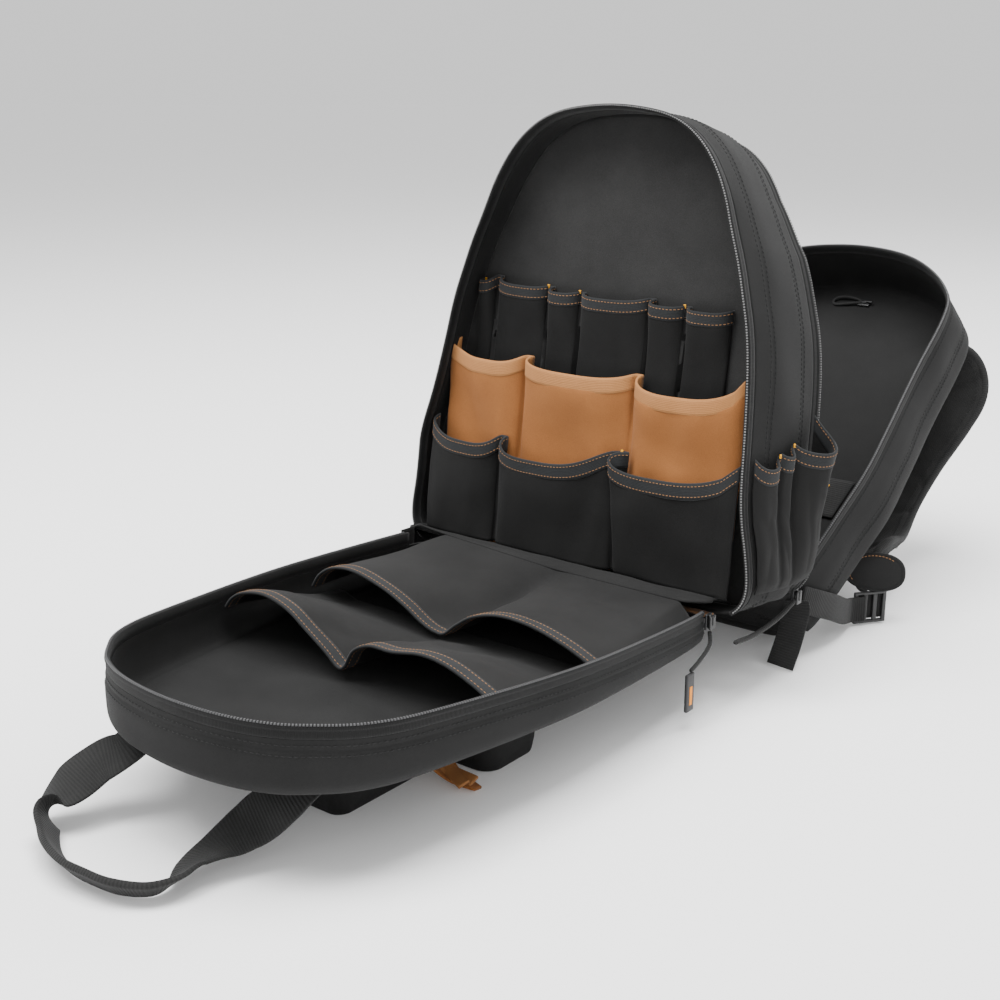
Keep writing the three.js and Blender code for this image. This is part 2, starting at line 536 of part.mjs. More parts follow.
// Carry handle of folded webbing, hanging from the lid end to the floor.
// Columns: x share of lid width, share of lid length from the hinge, share of hinge height (null is flat
// under the lid), side x, side y, side z, width share, thickness share
const HANDLE = [
  [-0.221, 0.8178, null, 1, 0, 0, 1, 1], [-0.227, 0.8756, null, 1, 0, 0, 1, 1],
  [-0.242, 0.9422, 0.64, 0.97, -0.12, -0.1, 1, 1], [-0.276, 0.9778, 0.52, 0.95, -0.15, -0.28, 1, 1],
  [-0.291, 1.0222, 0.387, 0.93, -0.2, -0.3, 1, 1.1], [-0.301, 1.0644, 0.233, 0.8, -0.5, 0.2, 0.95, 1.5],
  [-0.239, 1.0978, 0.173, 0.35, -0.8, 0.5, 0.52, 2.2], [-0.172, 1.1244, 0.153, 0, -0.6, 0.8, 0.5, 2.4],
  [-0.095, 1.1378, 0.147, 0, -0.6, 0.8, 0.52, 2.4], [-0.025, 1.1356, 0.14, 0, -0.6, 0.8, 0.54, 2.4],
  [0.043, 1.1267, 0.133, 0.1, -0.6, 0.75, 0.52, 2.4], [0.101, 1.1, 0.127, 0.4, -0.5, 0.7, 0.5, 2.2],
  [0.117, 1.0622, 0.14, 0.7, -0.3, 0.5, 0.62, 1.8], [0.104, 1.0222, 0.173, 0.9, -0.1, 0.3, 0.82, 1.3],
  [0.11, 0.9733, 0.227, 0.97, 0.05, 0.1, 0.97, 1.1], [0.138, 0.9356, 0.36, 0.97, 0.15, 0, 1, 1],
  [0.187, 0.9022, 0.573, 0.98, 0.15, 0, 1, 1], [0.218, 0.8667, 0.727, 1, 0.1, 0.12, 1, 1],
  [0.221, 0.8267, null, 1, 0, 0, 1, 1], [0.221, 0.7822, null, 1, 0, 0, 1, 1],
];
const underLid = (x, along, z) => {
  const y = -along * lid_length;
  return V(x * lid_width, y, z === null ? lidUnder(y) - 2.2 * gap - webbing_thick * 0.75 : z * hinge_height);
};
add('carry_handle', strap(HANDLE.map(([x, along, z, a, b, c, w, k]) => (
  { p: underLid(x, along, z), side: V(a, b, c), w: webbing_width * w, k: webbing_thick * k }
)), 0.06), CLOTH.web);

// Shoulder straps: padded, sewn to the top of the back pad and hanging loose below.
// Columns: share of the half width, share of rear length, share of rear wall depth, width share, turn of
// the side toward upright
const STRAP = [
  [0.3467, 0.9234, 1.6731, 0.95, 0], [0.5294, 0.9314, 1.8904, 1, 0], [0.6531, 0.8856, 2.1354, 1, 0],
  [0.708, 0.8066, 2.3286, 1, 0], [0.772, 0.6667, 2.3723, 1, 0], [0.8192, 0.5447, 2.3591, 1, 0],
  [0.8542, 0.4497, 2.2606, 0.95, 0.1], [0.8731, 0.3932, 2.1683, 0.88, 0.45],
  [0.9079, 0.3498, 2.0134, 0.8, 0.9], [0.9761, 0.2974, 1.7441, 0.72, 2], [1.0145, 0.2566, 1.5195, 0.62, 4],
  [1.0243, 0.2246, 1.3625, 0.5, 6],
];
const rearAt = (x, h, d) => rearPoint((x * rear_width) / 2, h * rear_length, d * rear_wall);
// Where the strap is sewn on the pad. Columns: share of rear length, lift in gaps
const SEWN = [[0.789, 1.5], [0.834, 4.2], [0.87, 12.7]];
const anchor_depth = (h) => rearWall({ h }) + 2 * gap + pad_thick + gap + strap_thick * 0.28;
for (const [name, m] of [['strap_right', 1], ['strap_left', -1]]) {
  const sewn = SEWN.map(([h, lift]) => (
    { p: rearPoint((m * 0.22 * rear_width) / 2, h * rear_length, anchor_depth(h * rear_length) + lift * gap - (m < 0 ? 2 * gap : 0)), side: V(1, 0, 0), w: strap_width * 0.8, k: strap_thick * 0.45 }
  ));
  const path = STRAP.map(([x, h, d, w, turn], i) => ({
    p: rearAt(m * x, h, d), side: V(1, i < 2 ? -m * 0.25 : 0, (i < 2 ? 0.1 : 0) + m * turn),
    w: strap_width * w, k: strap_thick * (i === STRAP.length - 1 ? 0.6 : 1),
  }));
  add(name, strap([...sewn, ...path], 0.12), CLOTH.black);
}

// Lower strap webbing, ladder buckle and loose tail on each side.
const web_w = 25;
const buckle_thick = 3.6;
// Columns: share of the half width, share of rear length, share of rear wall depth, for TAIL also width share
const BUCKLE = [1.0451, 0.1932, 1.7946];
const WEBBING = [
  [1.001, 0.028, 0.2716], [1.0398, 0.0552, 0.5634], [1.0542, 0.0869, 0.9125], [1.0346, 0.1191, 1.2815],
  [1.0041, 0.1461, 1.5276],
];
const TAIL = [
  [0.9128, -0.001, 0.1272, 0.9], [0.9186, -0.001, 0.2649, 1], [0.936, -0.016, 0.3467, 1],
  [0.9651, -0.06, 0.4932, 1], [0.9884, -0.1008, 0.648, 1],
];
for (const [name, m] of [['right', 1], ['left', -1]]) {
  const along = V(m * 0.6, 0.8, 0);
  const out = V(m * 0.8, -0.6, 0);
  const centre = rearAt(m * BUCKLE[0], BUCKLE[1], BUCKLE[2]);
  const over = (t) => centre.clone().addScaledVector(along, t)
    .addScaledVector(out, (buckle_thick + webbing_thick) / 2 + 1.6 * gap);
  const path = [...WEBBING.map(([x, h, d]) => rearAt(m * x, h, d)), over(-19.5), over(-6)];
  add(`webbing_${name}`, strap(path.map((q, i) => (
    { p: q, side: V(0, i < WEBBING.length - 1 ? 0.25 : 0, 1), w: web_w, k: webbing_thick }
  )), 0.06), CLOTH.web);
  const frame = roundRect(34, 32, 3);
  for (const x of [-10.4, 0, 10.4]) frame.holes.push(roundRect(5, 26, 1, x, 0));
  const normal = along.clone().cross(V(0, 0, 1));
  const corner = centre.clone().addScaledVector(normal, -buckle_thick / 2);
  add(`buckle_${name}`, plateSolid(frame, buckle_thick, corner, along, V(0, 0, 1)), 0x1c1d1f, 0.45);
  add(`tail_${name}`, strap(TAIL.map(([x, h, d, w]) => (
    { p: rearAt(m * x, h, d), side: V(m, 0.2, 0), w: web_w * w, k: webbing_thick }
  )), 0.06), CLOTH.web);
}

// Inner tab and zip pull on the rear panel
const tab = (x, h) => rearPoint((x * rear_width) / 2, h * rear_length, rear_wall - 2.6 - gap - 1.9);
add('inner_tab', sheet([[tab(0.488, 0.309), tab(0.744, 0.309)], [tab(0.488, 0.413), tab(0.744, 0.413)]], 1.8), CLOTH.web);
const pull_x = V(1, 0, 0);
const pull_y = V(0, Math.sin(rad(rear_lean)), Math.cos(rad(rear_lean)));
add('panel_zip_pull', plateSolid(roundRect(34, 8, 2), 3, rearPoint(-0.035 * rear_width, 0.928 * rear_length, rear_wall - 2.6 - gap), pull_x, pull_y), 0x1c1d1f, 0.4);

// Zip sliders with cord pulls at the right-hand corners
const slider = roundRect(9, 14, 2);
const up_x = V(0, 1, 0);
const up_y = V(0, 0, 1);
const lid_end = lidPoint(0.4878 * lid_width, 0.0342 * lid_length, zip_width * 0.85);
add('lid_slider', plateSolid(slider, 6, lid_end, up_x, up_y), 0x1c1d1f, 0.4, 0.2);
// Columns: millimetres from the slider
const LID_CORD = [[3.2, -0.6, -8], [6.7, -6, -18], [9.2, -26, -25], [10.2, -41, -28.6]];
const from = (p, table) => table.map(([x, y, z]) => p.clone().add(V(x, y, z)));
add('lid_pull_cord', cord(smooth(from(lid_end, LID_CORD), 8), 1.3), CLOTH.web);
const [tag_at] = from(lid_end, [[8.8, -42, -46.7]]);
add('lid_pull_tag', plateSolid(roundRect(11, 33, 3), 3.2, tag_at, up_x, up_y), 0x1c1d1f, 0.6);
const rear_end = midPoint(0.975 * half_width, 0.0135 * bag_height, mid_depth * 0.9);
add('rear_slider', plateSolid(slider, 6, rear_end, up_x, up_y), 0x1c1d1f, 0.4, 0.2);
const REAR_CORD = [[3.6, -4.9, -2], [5, -37, -8], [3.2, -72, -12], [0.2, -103, -11]];
add('rear_pull_cord', cord(smooth(from(rear_end, REAR_CORD), 10), 1.8), CLOTH.web);

// The origin sits under the middle of the whole, on the floor
const box = new THREE.Box3().setFromObject(group);
group.position.set(-(box.min.x + box.max.x) / 2, -(box.min.y + box.max.y) / 2, 0);

export default group;
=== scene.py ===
import math
import bpy
import bmesh
import numpy as np
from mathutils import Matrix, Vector


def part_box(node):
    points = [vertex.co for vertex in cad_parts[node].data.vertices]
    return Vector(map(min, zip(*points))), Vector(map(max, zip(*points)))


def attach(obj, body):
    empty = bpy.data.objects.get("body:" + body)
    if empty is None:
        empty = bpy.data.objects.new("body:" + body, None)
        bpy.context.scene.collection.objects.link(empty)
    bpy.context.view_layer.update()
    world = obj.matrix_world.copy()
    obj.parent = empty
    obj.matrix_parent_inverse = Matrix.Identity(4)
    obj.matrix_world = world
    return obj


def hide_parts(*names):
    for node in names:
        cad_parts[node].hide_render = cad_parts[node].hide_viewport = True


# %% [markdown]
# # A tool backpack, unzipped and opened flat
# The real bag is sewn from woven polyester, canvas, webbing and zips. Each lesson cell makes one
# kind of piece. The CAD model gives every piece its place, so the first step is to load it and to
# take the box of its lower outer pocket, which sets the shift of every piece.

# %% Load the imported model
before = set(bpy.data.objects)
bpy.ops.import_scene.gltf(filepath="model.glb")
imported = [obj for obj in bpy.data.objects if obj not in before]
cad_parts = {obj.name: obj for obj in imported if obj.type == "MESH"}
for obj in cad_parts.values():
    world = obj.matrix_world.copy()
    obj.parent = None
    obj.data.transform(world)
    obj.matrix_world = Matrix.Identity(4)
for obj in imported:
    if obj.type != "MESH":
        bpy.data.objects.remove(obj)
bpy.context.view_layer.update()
low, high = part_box("outer_pocket_lower")
SHIFT = np.array([(low[0] + high[0]) / 2 + 0.0145, (low[1] + high[1]) / 2 + 0.19215, 0.0])

# %% [markdown]
# ## Camera
# The photograph looks down on the bag from its front right. A long lens far away keeps the sections
# in proportion. Depth of field stays off, so that other views of the same scene stay sharp.

# %% Camera
azimuth, elevation = math.radians(38.42), math.radians(16.63)
back = Vector((
    math.sin(azimuth) * math.cos(elevation),
    -math.cos(azimuth) * math.cos(elevation),
    math.sin(elevation),
))
target = Vector((0, -0.09054, 0.17053)) + Vector(SHIFT)
distance = 1.21646
camera_data = bpy.data.cameras.new("camera")
camera_data.lens = 52.49
camera_data.sensor_width = 36
camera_data.clip_end = 20
camera = bpy.data.objects.new("camera", camera_data)
bpy.context.collection.objects.link(camera)
camera.location = target + back * distance
camera.rotation_euler = back.to_track_quat("Z", "Y").to_euler()
bpy.context.scene.camera = camera
print("camera at", tuple(round(c, 3) for c in camera.location))

# %% [markdown]
# ## The shapes that the sections share
# The three sections of the bag have arched outlines. A short table of shares gives each outline, and
# a function turns a place on the flat outline and a depth into a point of the opened bag. These are
# the same sizes as in the CAD source, in millimetres; they become metres when a mesh is made.

# %% Sizes and outlines
bag_width, bag_height, mid_depth, hinge_height = 368, 417, 107, 75
lid_length, lid_width, lid_wall_hinge, lid_wall_end = 450, 326, 32, 53
rear_length, rear_width, rear_wall = 446, 344, 70
cloth, pocket_cloth, zip_width, tape_width, gap = 2.4, 1.6, 9, 13, 0.4
strap_width, strap_thick, webbing_width, webbing_thick = 62, 12, 38, 2
mid_lean, mid_fan, base_tilt, lid_rise, rear_lean = 8.9, 2.4, 5, 4.2, 53
lid_lift, lid_warp, rear_skew, half_width = 10, 9, 0.145 * rear_width, bag_width / 2
rad = math.radians

MID_OUTLINE = [
    (0, 0), (0, 0.45), (0, 0.83), (0.013, 0.93), (0.04, 0.985), (0.08, 1), (0.15, 0.965), (0.2, 0.932),
    (0.26, 0.91), (0.36, 0.897), (0.48, 0.875), (0.57, 0.845), (0.64, 0.8), (0.7, 0.76), (0.763, 0.705),
    (0.84, 0.645), (0.904, 0.56), (0.943, 0.475), (0.972, 0.375), (0.99, 0.24), (1, 0),
]
LID_OUTLINE = [
    (0, 0), (0, 0.5), (0, 0.86), (0.012, 0.93), (0.04, 0.965), (0.12, 0.985), (0.28, 1), (0.42, 1),
    (0.55, 0.965), (0.65, 0.925), (0.75, 0.88), (0.81, 0.845), (0.855, 0.795), (0.89, 0.735), (0.927, 0.63),
    (0.95, 0.56), (0.971, 0.45), (0.986, 0.33), (0.996, 0.17), (1, 0),
]
REAR_OUTLINE = [
    (0, 0), (0, 0.5), (0, 0.88), (0.012, 0.94), (0.04, 0.97), (0.12, 0.985), (0.22, 0.995), (0.34, 1),
    (0.45, 0.965), (0.55, 0.925), (0.65, 0.885), (0.75, 0.855), (0.81, 0.825), (0.85, 0.79), (0.885, 0.72),
    (0.92, 0.625), (0.95, 0.51), (0.973, 0.39), (0.99, 0.24), (1, 0),
]
print("outline points:", len(MID_OUTLINE), len(LID_OUTLINE), len(REAR_OUTLINE))

# %% [markdown]
# The left side of the middle section sags outwards above its base, as full soft walls do. Three point
# functions bend and lean the flat shapes into the opened bag, which keeps every seam of a section
# together, because its wall, zip and pockets all go through the same function.

# %% From a flat outline to the opened bag
def left_sag(h):
    return 0.08 * half_width * np.exp(-(((h / bag_height - 0.26) / 0.1) ** 2))


def outline_loop(table, half, length, count, left_more=None):
    """Closed smooth loop: x, h and the outward normal at evenly spaced points."""
    right = [(w * half, h * length) for h, w in table]
    left = [(-x - (left_more(h) if left_more else 0), h) for x, h in reversed(right[1:-1])]
    pts = np.array(right + left, float)
    for _ in range(3):
        nxt = np.roll(pts, -1, 0)
        pts = np.stack([0.75 * pts + 0.25 * nxt, 0.25 * pts + 0.75 * nxt], 1).reshape(-1, 2)
    start = np.argmin(np.abs(pts[:, 0]) + pts[:, 1] * 10)
    pts = np.roll(pts, -start, 0)
    ring = np.vstack([pts, pts[:1]])
    arc = np.concatenate([[0], np.cumsum(np.linalg.norm(np.diff(ring, axis=0), axis=1))])
    at = np.linspace(0, arc[-1], count, endpoint=False)
    x = np.interp(at, arc, ring[:, 0])
    h = np.interp(at, arc, ring[:, 1])
    t = np.stack([np.roll(x, -1) - np.roll(x, 1), np.roll(h, -1) - np.roll(h, 1)], 1)
    t /= np.linalg.norm(t, axis=1)[:, None]
    return {"x": x, "h": h, "nx": t[:, 1], "nh": -t[:, 0], "arc": at}


def mid_point(x, h, d):
    x, h, d = np.broadcast_arrays(*map(lambda v: np.asarray(v, float), (x, h, d)))
    t = d / mid_depth
    hs = h / bag_height
    lean = np.radians(mid_lean + mid_fan * t)
    hh = h * (1 - 0.04 * t)
    fuller = 0.045 * np.sin(np.pi * np.minimum(np.maximum(hs, 0) / 0.9, 1))
    narrower = 0.08 * np.clip((hs - 0.74) / 0.12, 0, 1)
    b = rad(base_tilt)
    y = d * math.cos(b) + hh * np.sin(lean)
    z = hinge_height - d * math.sin(b) + hh * np.cos(lean)
    return np.stack([x * (1 + (fuller - narrower) * t), y, z], -1)


def lid_point(x, s, d):
    x, s, d = np.broadcast_arrays(*map(lambda v: np.asarray(v, float), (x, s, d)))
    r = rad(lid_rise)
    far = np.clip(-2 * x / lid_width, 0, 1) * (1 - np.clip(s / lid_length, 0, 1)) ** 2
    z = hinge_height + lid_lift + s * math.sin(r) - d * math.cos(r)
    z = z + lid_warp * far * np.maximum(1 - d / lid_wall_hinge, 0)
    return np.stack([x, -s * math.cos(r) - d * math.sin(r), z], -1)


def rear_point(x, h, d):
    x, h, d = np.broadcast_arrays(*map(lambda v: np.asarray(v, float), (x, h, d)))
    p, b = rad(rear_lean), rad(base_tilt)
    xx = x + rear_skew * np.clip(h / rear_length, 0, 1) ** 1.5
    y = mid_depth * math.cos(b) + h * math.sin(p) + d * math.cos(p)
    z = hinge_height - mid_depth * math.sin(b) + h * math.cos(p) - d * math.sin(p)
    return np.stack([xx, y, z], -1)


mid_loop = outline_loop(MID_OUTLINE, half_width, bag_height, 420, left_sag)
lid_loop = outline_loop(LID_OUTLINE, lid_width / 2, lid_length, 420)
rear_loop = outline_loop(REAR_OUTLINE, rear_width / 2, rear_length, 420)
print("outline lengths in mm:", [round(float(lp["arc"][-1])) for lp in (mid_loop, lid_loop, rear_loop)])

# %% [markdown]
# ## Mesh helpers
# Cloth is a curved sheet with a thickness, so one helper gives a grid of points two faces and a
# rounded rim, and another closes rings of points into a shell. Each keeps a UV map in metres, which
# the weave of the material follows.

# %% Smooth steps and ripples
def smoothstep(v, a, b):
    t = np.clip((v - a) / (b - a), 0, 1)
    return t * t * (3 - 2 * t)


def ripple(P, wave, seed):
    """Soft uneven waves over points, between about -1 and 1, the same on each run."""
    rng = np.random.RandomState(seed)
    out = np.zeros(P.shape[:-1])
    warp = np.zeros(P.shape[:-1])
    for k in range(3):
        v = rng.normal(size=3)
        warp += np.sin(
            P @ (v / np.linalg.norm(v)) * 2 * np.pi / (wave * rng.uniform(1.4, 2.6)) + rng.uniform(0, 6.3))
    for k in range(6):
        v = rng.normal(size=3)
        v /= np.linalg.norm(v)
        size = wave * rng.uniform(0.6, 1.6)
        out += np.sin(P @ v * 2 * np.pi / size + warp * 0.8 + rng.uniform(0, 6.3))
    return out / 3.2


print("a step in steps:", smoothstep(np.linspace(0, 1, 5), 0, 1).round(2))

# %% [markdown]
# Every piece is a closed mesh with faces that point outwards. One helper makes it, gives it its
# material, sets it on the body of the frame and hides the part of the CAD model that it stands for.

# %% A mesh object from points
def piece(name, verts, faces, uv, material, node=None, smooth=True):
    """A mesh object from points in millimetres of the floor frame, closed and facing out."""
    mesh = bpy.data.meshes.new(name)
    mesh.from_pydata((np.asarray(verts) * 0.001 + SHIFT).tolist(), [], [list(map(int, f)) for f in faces])
    if uv is not None:
        layer = mesh.uv_layers.new(name="UVMap")
        loops = np.empty(len(mesh.loops), dtype=np.int32)
        mesh.loops.foreach_get("vertex_index", loops)
        layer.data.foreach_set("uv", np.asarray(uv, float)[loops].ravel())
    bm = bmesh.new()
    bm.from_mesh(mesh)
    bmesh.ops.recalc_face_normals(bm, faces=bm.faces)
    bm.to_mesh(mesh)
    bm.free()
    obj = bpy.data.objects.new(name, mesh)
    bpy.context.collection.objects.link(obj)
    mesh.materials.append(material)
    mesh.polygons.foreach_set("use_smooth", [smooth] * len(mesh.polygons))
    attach(obj, "root")
    if node:
        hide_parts(*([node] if isinstance(node, str) else node))
    print(name, len(mesh.polygons), "faces")
    return obj


print("pieces so far:", len(bpy.data.meshes))

# %% [markdown]
# A tube, a strap, a shell and a pad are all rings of points with faces between them. The ends are
# closed with a fan round their middle, so that no mesh has a hole.

# %% Rings joined into a body
def rings_piece(name, P, material, node=None, closed=False):
    """Rings of points joined into a body. P has the shape rings, points, 3."""
    k, n = P.shape[:2]
    verts = P.reshape(-1, 3)
    ring_len = np.linalg.norm(np.diff(P, axis=1, append=P[:, :1]), axis=2)
    across = np.concatenate([np.zeros((k, 1)), np.cumsum(ring_len, 1)[:, :-1]], 1)
    step = np.linalg.norm(np.diff(P, axis=0), axis=2).mean(1)
    along = np.concatenate([[0], np.cumsum(step)])[:, None] * np.ones((1, n))
    uv = np.stack([across.mean(0)[None, :] * np.ones((k, 1)), along], -1).reshape(-1, 2) * 0.001
    r = np.arange(k if closed else k - 1)[:, None]
    c = np.arange(n)[None, :]
    a = r * n + c
    b = r * n + (c + 1) % n
    d = ((r + 1) % k) * n + (c + 1) % n
    e = ((r + 1) % k) * n + c
    faces = np.stack([a, b, d, e], -1).reshape(-1, 4).tolist()
    if not closed:
        for ring, flip in ((0, True), (k - 1, False)):
            verts = np.vstack([verts, P[ring].mean(0)])
            uv = np.vstack([uv, uv[ring * n:(ring + 1) * n].mean(0)])
            m = len(verts) - 1
            for j in range(n):
                p, q = ring * n + j, ring * n + (j + 1) % n
                faces.append((m, q, p) if flip else (m, p, q))
    return piece(name, verts, faces, uv, material, node)


print("rings helper ready")

# %% [markdown]
# Cloth has two faces and a rounded rim. A sheet is made from one grid of points that is moved half a
# thickness to each side, with one more row of points along the rim.

# %% Cloth sheets
def grid_normals(P):
    du = np.gradient(P, axis=1)
    dv = np.gradient(P, axis=0)
    n = np.cross(du, dv)
    return n / np.maximum(np.linalg.norm(n, axis=-1, keepdims=True), 1e-9)


def sheet_piece(name, P, thick, material, node=None, front=0.5):
    """A cloth sheet from a grid of points, with a rounded rim. Returns the object and its normals."""
    nv, nu = P.shape[:2]
    N = grid_normals(P)
    A = P + N * thick * front
    B = P - N * thick * (1 - front)
    top = (P[-1] - P[-2]) / np.maximum(np.linalg.norm(P[-1] - P[-2], axis=-1, keepdims=True), 1e-9)
    foot = (P[0] - P[1]) / np.maximum(np.linalg.norm(P[0] - P[1], axis=-1, keepdims=True), 1e-9)
    mid = (A + B) / 2
    ring = np.concatenate([
        A, (mid[-1] + top * thick * 0.35)[None],
        B[::-1], (mid[0] + foot * thick * 0.35)[None]], 0)
    m = 2 * nv + 2
    verts = ring.transpose(1, 0, 2).reshape(-1, 3)
    su = np.concatenate([[0], np.cumsum(np.linalg.norm(np.diff(P, axis=1), axis=2).mean(0))])
    sv = np.concatenate([[0], np.cumsum(np.linalg.norm(np.diff(P, axis=0), axis=2).mean(1))])
    vv = np.concatenate([sv, [sv[-1]], sv[::-1], [0]])
    uv = np.stack([su[:, None] * np.ones((1, m)), np.ones((nu, 1)) * vv[None, :]], -1).reshape(-1, 2) * 0.001
    faces = []
    for u in range(nu - 1):
        for i in range(m):
            j = (i + 1) % m
            faces.append((u * m + i, u * m + j, (u + 1) * m + j, (u + 1) * m + i))
    for u in (0, nu - 1):
        o = u * m
        for i in range(nv - 1):
            faces.append((o + i, o + i + 1, o + 2 * nv - i - 1, o + 2 * nv - i))
        faces.append((o + nv - 1, o + nv, o + nv + 1))
        faces.append((o, o + 2 * nv + 1, o + 2 * nv))
    return piece(name, verts, faces, uv, material, node), N


print("sheet helper ready, cloth is", cloth, "mm and pocket cloth", pocket_cloth, "mm")

# %% [markdown]
# A stitch is a short lens of thread that lies on the cloth. There are thousands, so each has only a
# few faces, and the stitches of a whole group of seams are one piece.

# %% Stitches
def thread(name, runs, material, pitch=3.6, length=2.7, width=0.8, height=0.45):
    """Stitches along runs of (points, normals): each stitch is a small lens of thread."""
    verts, faces = [], []
    for P, N in runs:
        arc = np.concatenate([[0], np.cumsum(np.linalg.norm(np.diff(P, axis=0), axis=1))])
        at = np.arange(pitch / 2, arc[-1] - length / 2, pitch)
        c = np.stack([np.interp(at, arc, P[:, i]) for i in range(3)], 1)
        n = np.stack([np.interp(at, arc, N[:, i]) for i in range(3)], 1)
        a = np.stack([np.interp(at - length / 2, arc, P[:, i]) for i in range(3)], 1)
        b = np.stack([np.interp(at + length / 2, arc, P[:, i]) for i in range(3)], 1)
        t = (b - a) / np.maximum(np.linalg.norm(b - a, axis=1, keepdims=True), 1e-9)
        n = n - t * np.sum(n * t, 1, keepdims=True)
        n /= np.maximum(np.linalg.norm(n, axis=1, keepdims=True), 1e-9)
        s = np.cross(n, t)
        for k in range(len(at)):
            o = len(verts)
            up = n[k] * height
            q = t[k] * length * 0.28
            verts += [a[k], c[k] - q + s[k] * width / 2, c[k] - q + up, c[k] - q - s[k] * width / 2,
                      c[k] + q + s[k] * width / 2, c[k] + q + up, c[k] + q - s[k] * width / 2, b[k],
                      c[k] - q - up, c[k] + q - up]
            faces += [
                (o, o + 1, o + 2), (o, o + 2, o + 3), (o, o + 3, o + 8), (o, o + 8, o + 1),
                (o + 1, o + 4, o + 5, o + 2), (o + 2, o + 5, o + 6, o + 3),
                (o + 3, o + 6, o + 9, o + 8), (o + 8, o + 9, o + 4, o + 1),
                (o + 7, o + 5, o + 4), (o + 7, o + 6, o + 5), (o + 7, o + 9, o + 6), (o + 7, o + 4, o + 9)]
    return piece(name, np.array(verts), faces, None, material)


print("stitch helper ready")

# %% [markdown]
# Webbing, cords and mouths of pockets are given by a few points each. A curve through the points
# keeps the tables short and the bends smooth.

# %% Smooth curves
def spline(rows, count):
    """Catmull-Rom curve through rows of numbers, at evenly spaced places."""
    R = np.array(rows, float)
    ext = np.vstack([2 * R[0] - R[1], R, 2 * R[-1] - R[-2]])
    at = np.linspace(0, len(R) - 1 - 1e-6, count)
    i = at.astype(int)
    t = (at - i)[:, None]
    a, b, c, d = ext[i], ext[i + 1], ext[i + 2], ext[i + 3]
    return 0.5 * (
        2 * b + (c - a) * t + (2 * a - 5 * b + 4 * c - d) * t ** 2 + (3 * b - a - 3 * c + d) * t ** 3)

print("a curve through 3 points:", spline([(0, 0), (1, 1), (2, 0)], 5)[:, 1].round(2))

# %% [markdown]
# ## Materials
# Nearly all of the bag is black woven polyester, with canvas, webbing, zips and a few moulded
# parts. A fabric needs three scales: the weave, a slubby grain, and broad worn patches. Cloth also
# has a soft edge glow, which is the sheen value of the shader.

# %% Woven cloth
def fabric(name, dark, light, weave=0.9, bump=0.35, sheen=0.25, rough=0.82, rib=False, grain=0.5):
    """Woven cloth: weave from the UV map in metres, grain and patches from object coordinates."""
    mat = bpy.data.materials.new(name)
    mat.use_nodes = True
    nodes, links = mat.node_tree.nodes, mat.node_tree.links
    shader = nodes["Principled BSDF"]
    shader.inputs["Sheen Weight"].default_value = sheen
    shader.inputs["Sheen Roughness"].default_value = 0.45
    shader.inputs["Specular IOR Level"].default_value = 0.16
    place = nodes.new("ShaderNodeTexCoord")
    split = nodes.new("ShaderNodeSeparateXYZ")
    links.new(place.outputs["UV"], split.inputs[0])

    def math_node(op, a, b=None, c=None):
        n = nodes.new("ShaderNodeMath")
        n.operation = op
        for i, v in enumerate((a, b, c)):
            if v is None:
                continue
            if isinstance(v, (int, float)):
                n.inputs[i].default_value = v
            else:
                links.new(v, n.inputs[i])
        return n.outputs[0]

    waves = []
    for axis, size in (("X", weave), ("Y", weave * (1.6 if rib else 1.0))):
        turns = math_node("MULTIPLY", split.outputs[axis], 2 * math.pi / (size * 0.001))
        waves.append(math_node("SINE", turns))
    cross = math_node("MULTIPLY", waves[0], waves[1]) if not rib else waves[1]
    grain_tex = nodes.new("ShaderNodeTexNoise")
    grain_tex.inputs["Scale"].default_value = 1400
    grain_tex.inputs["Detail"].default_value = 3
    patch = nodes.new("ShaderNodeTexNoise")
    patch.inputs["Scale"].default_value = 14
    patch.inputs["Detail"].default_value = 5
    patch.inputs["Roughness"].default_value = 0.6
    for tex in (grain_tex, patch):
        links.new(place.outputs["Object"], tex.inputs["Vector"])
    height = math_node("MULTIPLY_ADD", cross, 0.5, grain_tex.outputs["Fac"])
    broad = math_node("MULTIPLY", patch.outputs["Fac"], 0.75)
    tone = math_node("MULTIPLY_ADD", grain_tex.outputs["Fac"], grain, broad)
    tone = math_node("MULTIPLY_ADD", cross, 0.08, tone)
    ramp = nodes.new("ShaderNodeMapRange")
    ramp.inputs["From Min"].default_value = 0.32
    ramp.inputs["From Max"].default_value = 0.95
    links.new(tone, ramp.inputs["Value"])
    mix = nodes.new("ShaderNodeMix")
    mix.data_type = "RGBA"
    mix.inputs[6].default_value = (*dark, 1)
    mix.inputs[7].default_value = (*light, 1)
    links.new(ramp.outputs["Result"], mix.inputs[0])
    links.new(mix.outputs[2], shader.inputs["Base Color"])
    dull = nodes.new("ShaderNodeMapRange")
    dull.inputs["To Min"].default_value = rough - 0.08
    dull.inputs["To Max"].default_value = rough + 0.1
    links.new(patch.outputs["Fac"], dull.inputs["Value"])
    links.new(dull.outputs["Result"], shader.inputs["Roughness"])
    relief = nodes.new("ShaderNodeBump")
    relief.inputs["Strength"].default_value = bump
    relief.inputs["Distance"].default_value = 0.0004
    links.new(height, relief.inputs["Height"])
    links.new(relief.outputs["Normal"], shader.inputs["Normal"])
    return mat


print("woven cloth helper ready")

# %% [markdown]
# Buckles, sliders and zip teeth are moulded or die-cast. Their gloss varies in fine pits, which is a
# noise in the roughness and a trace of relief.

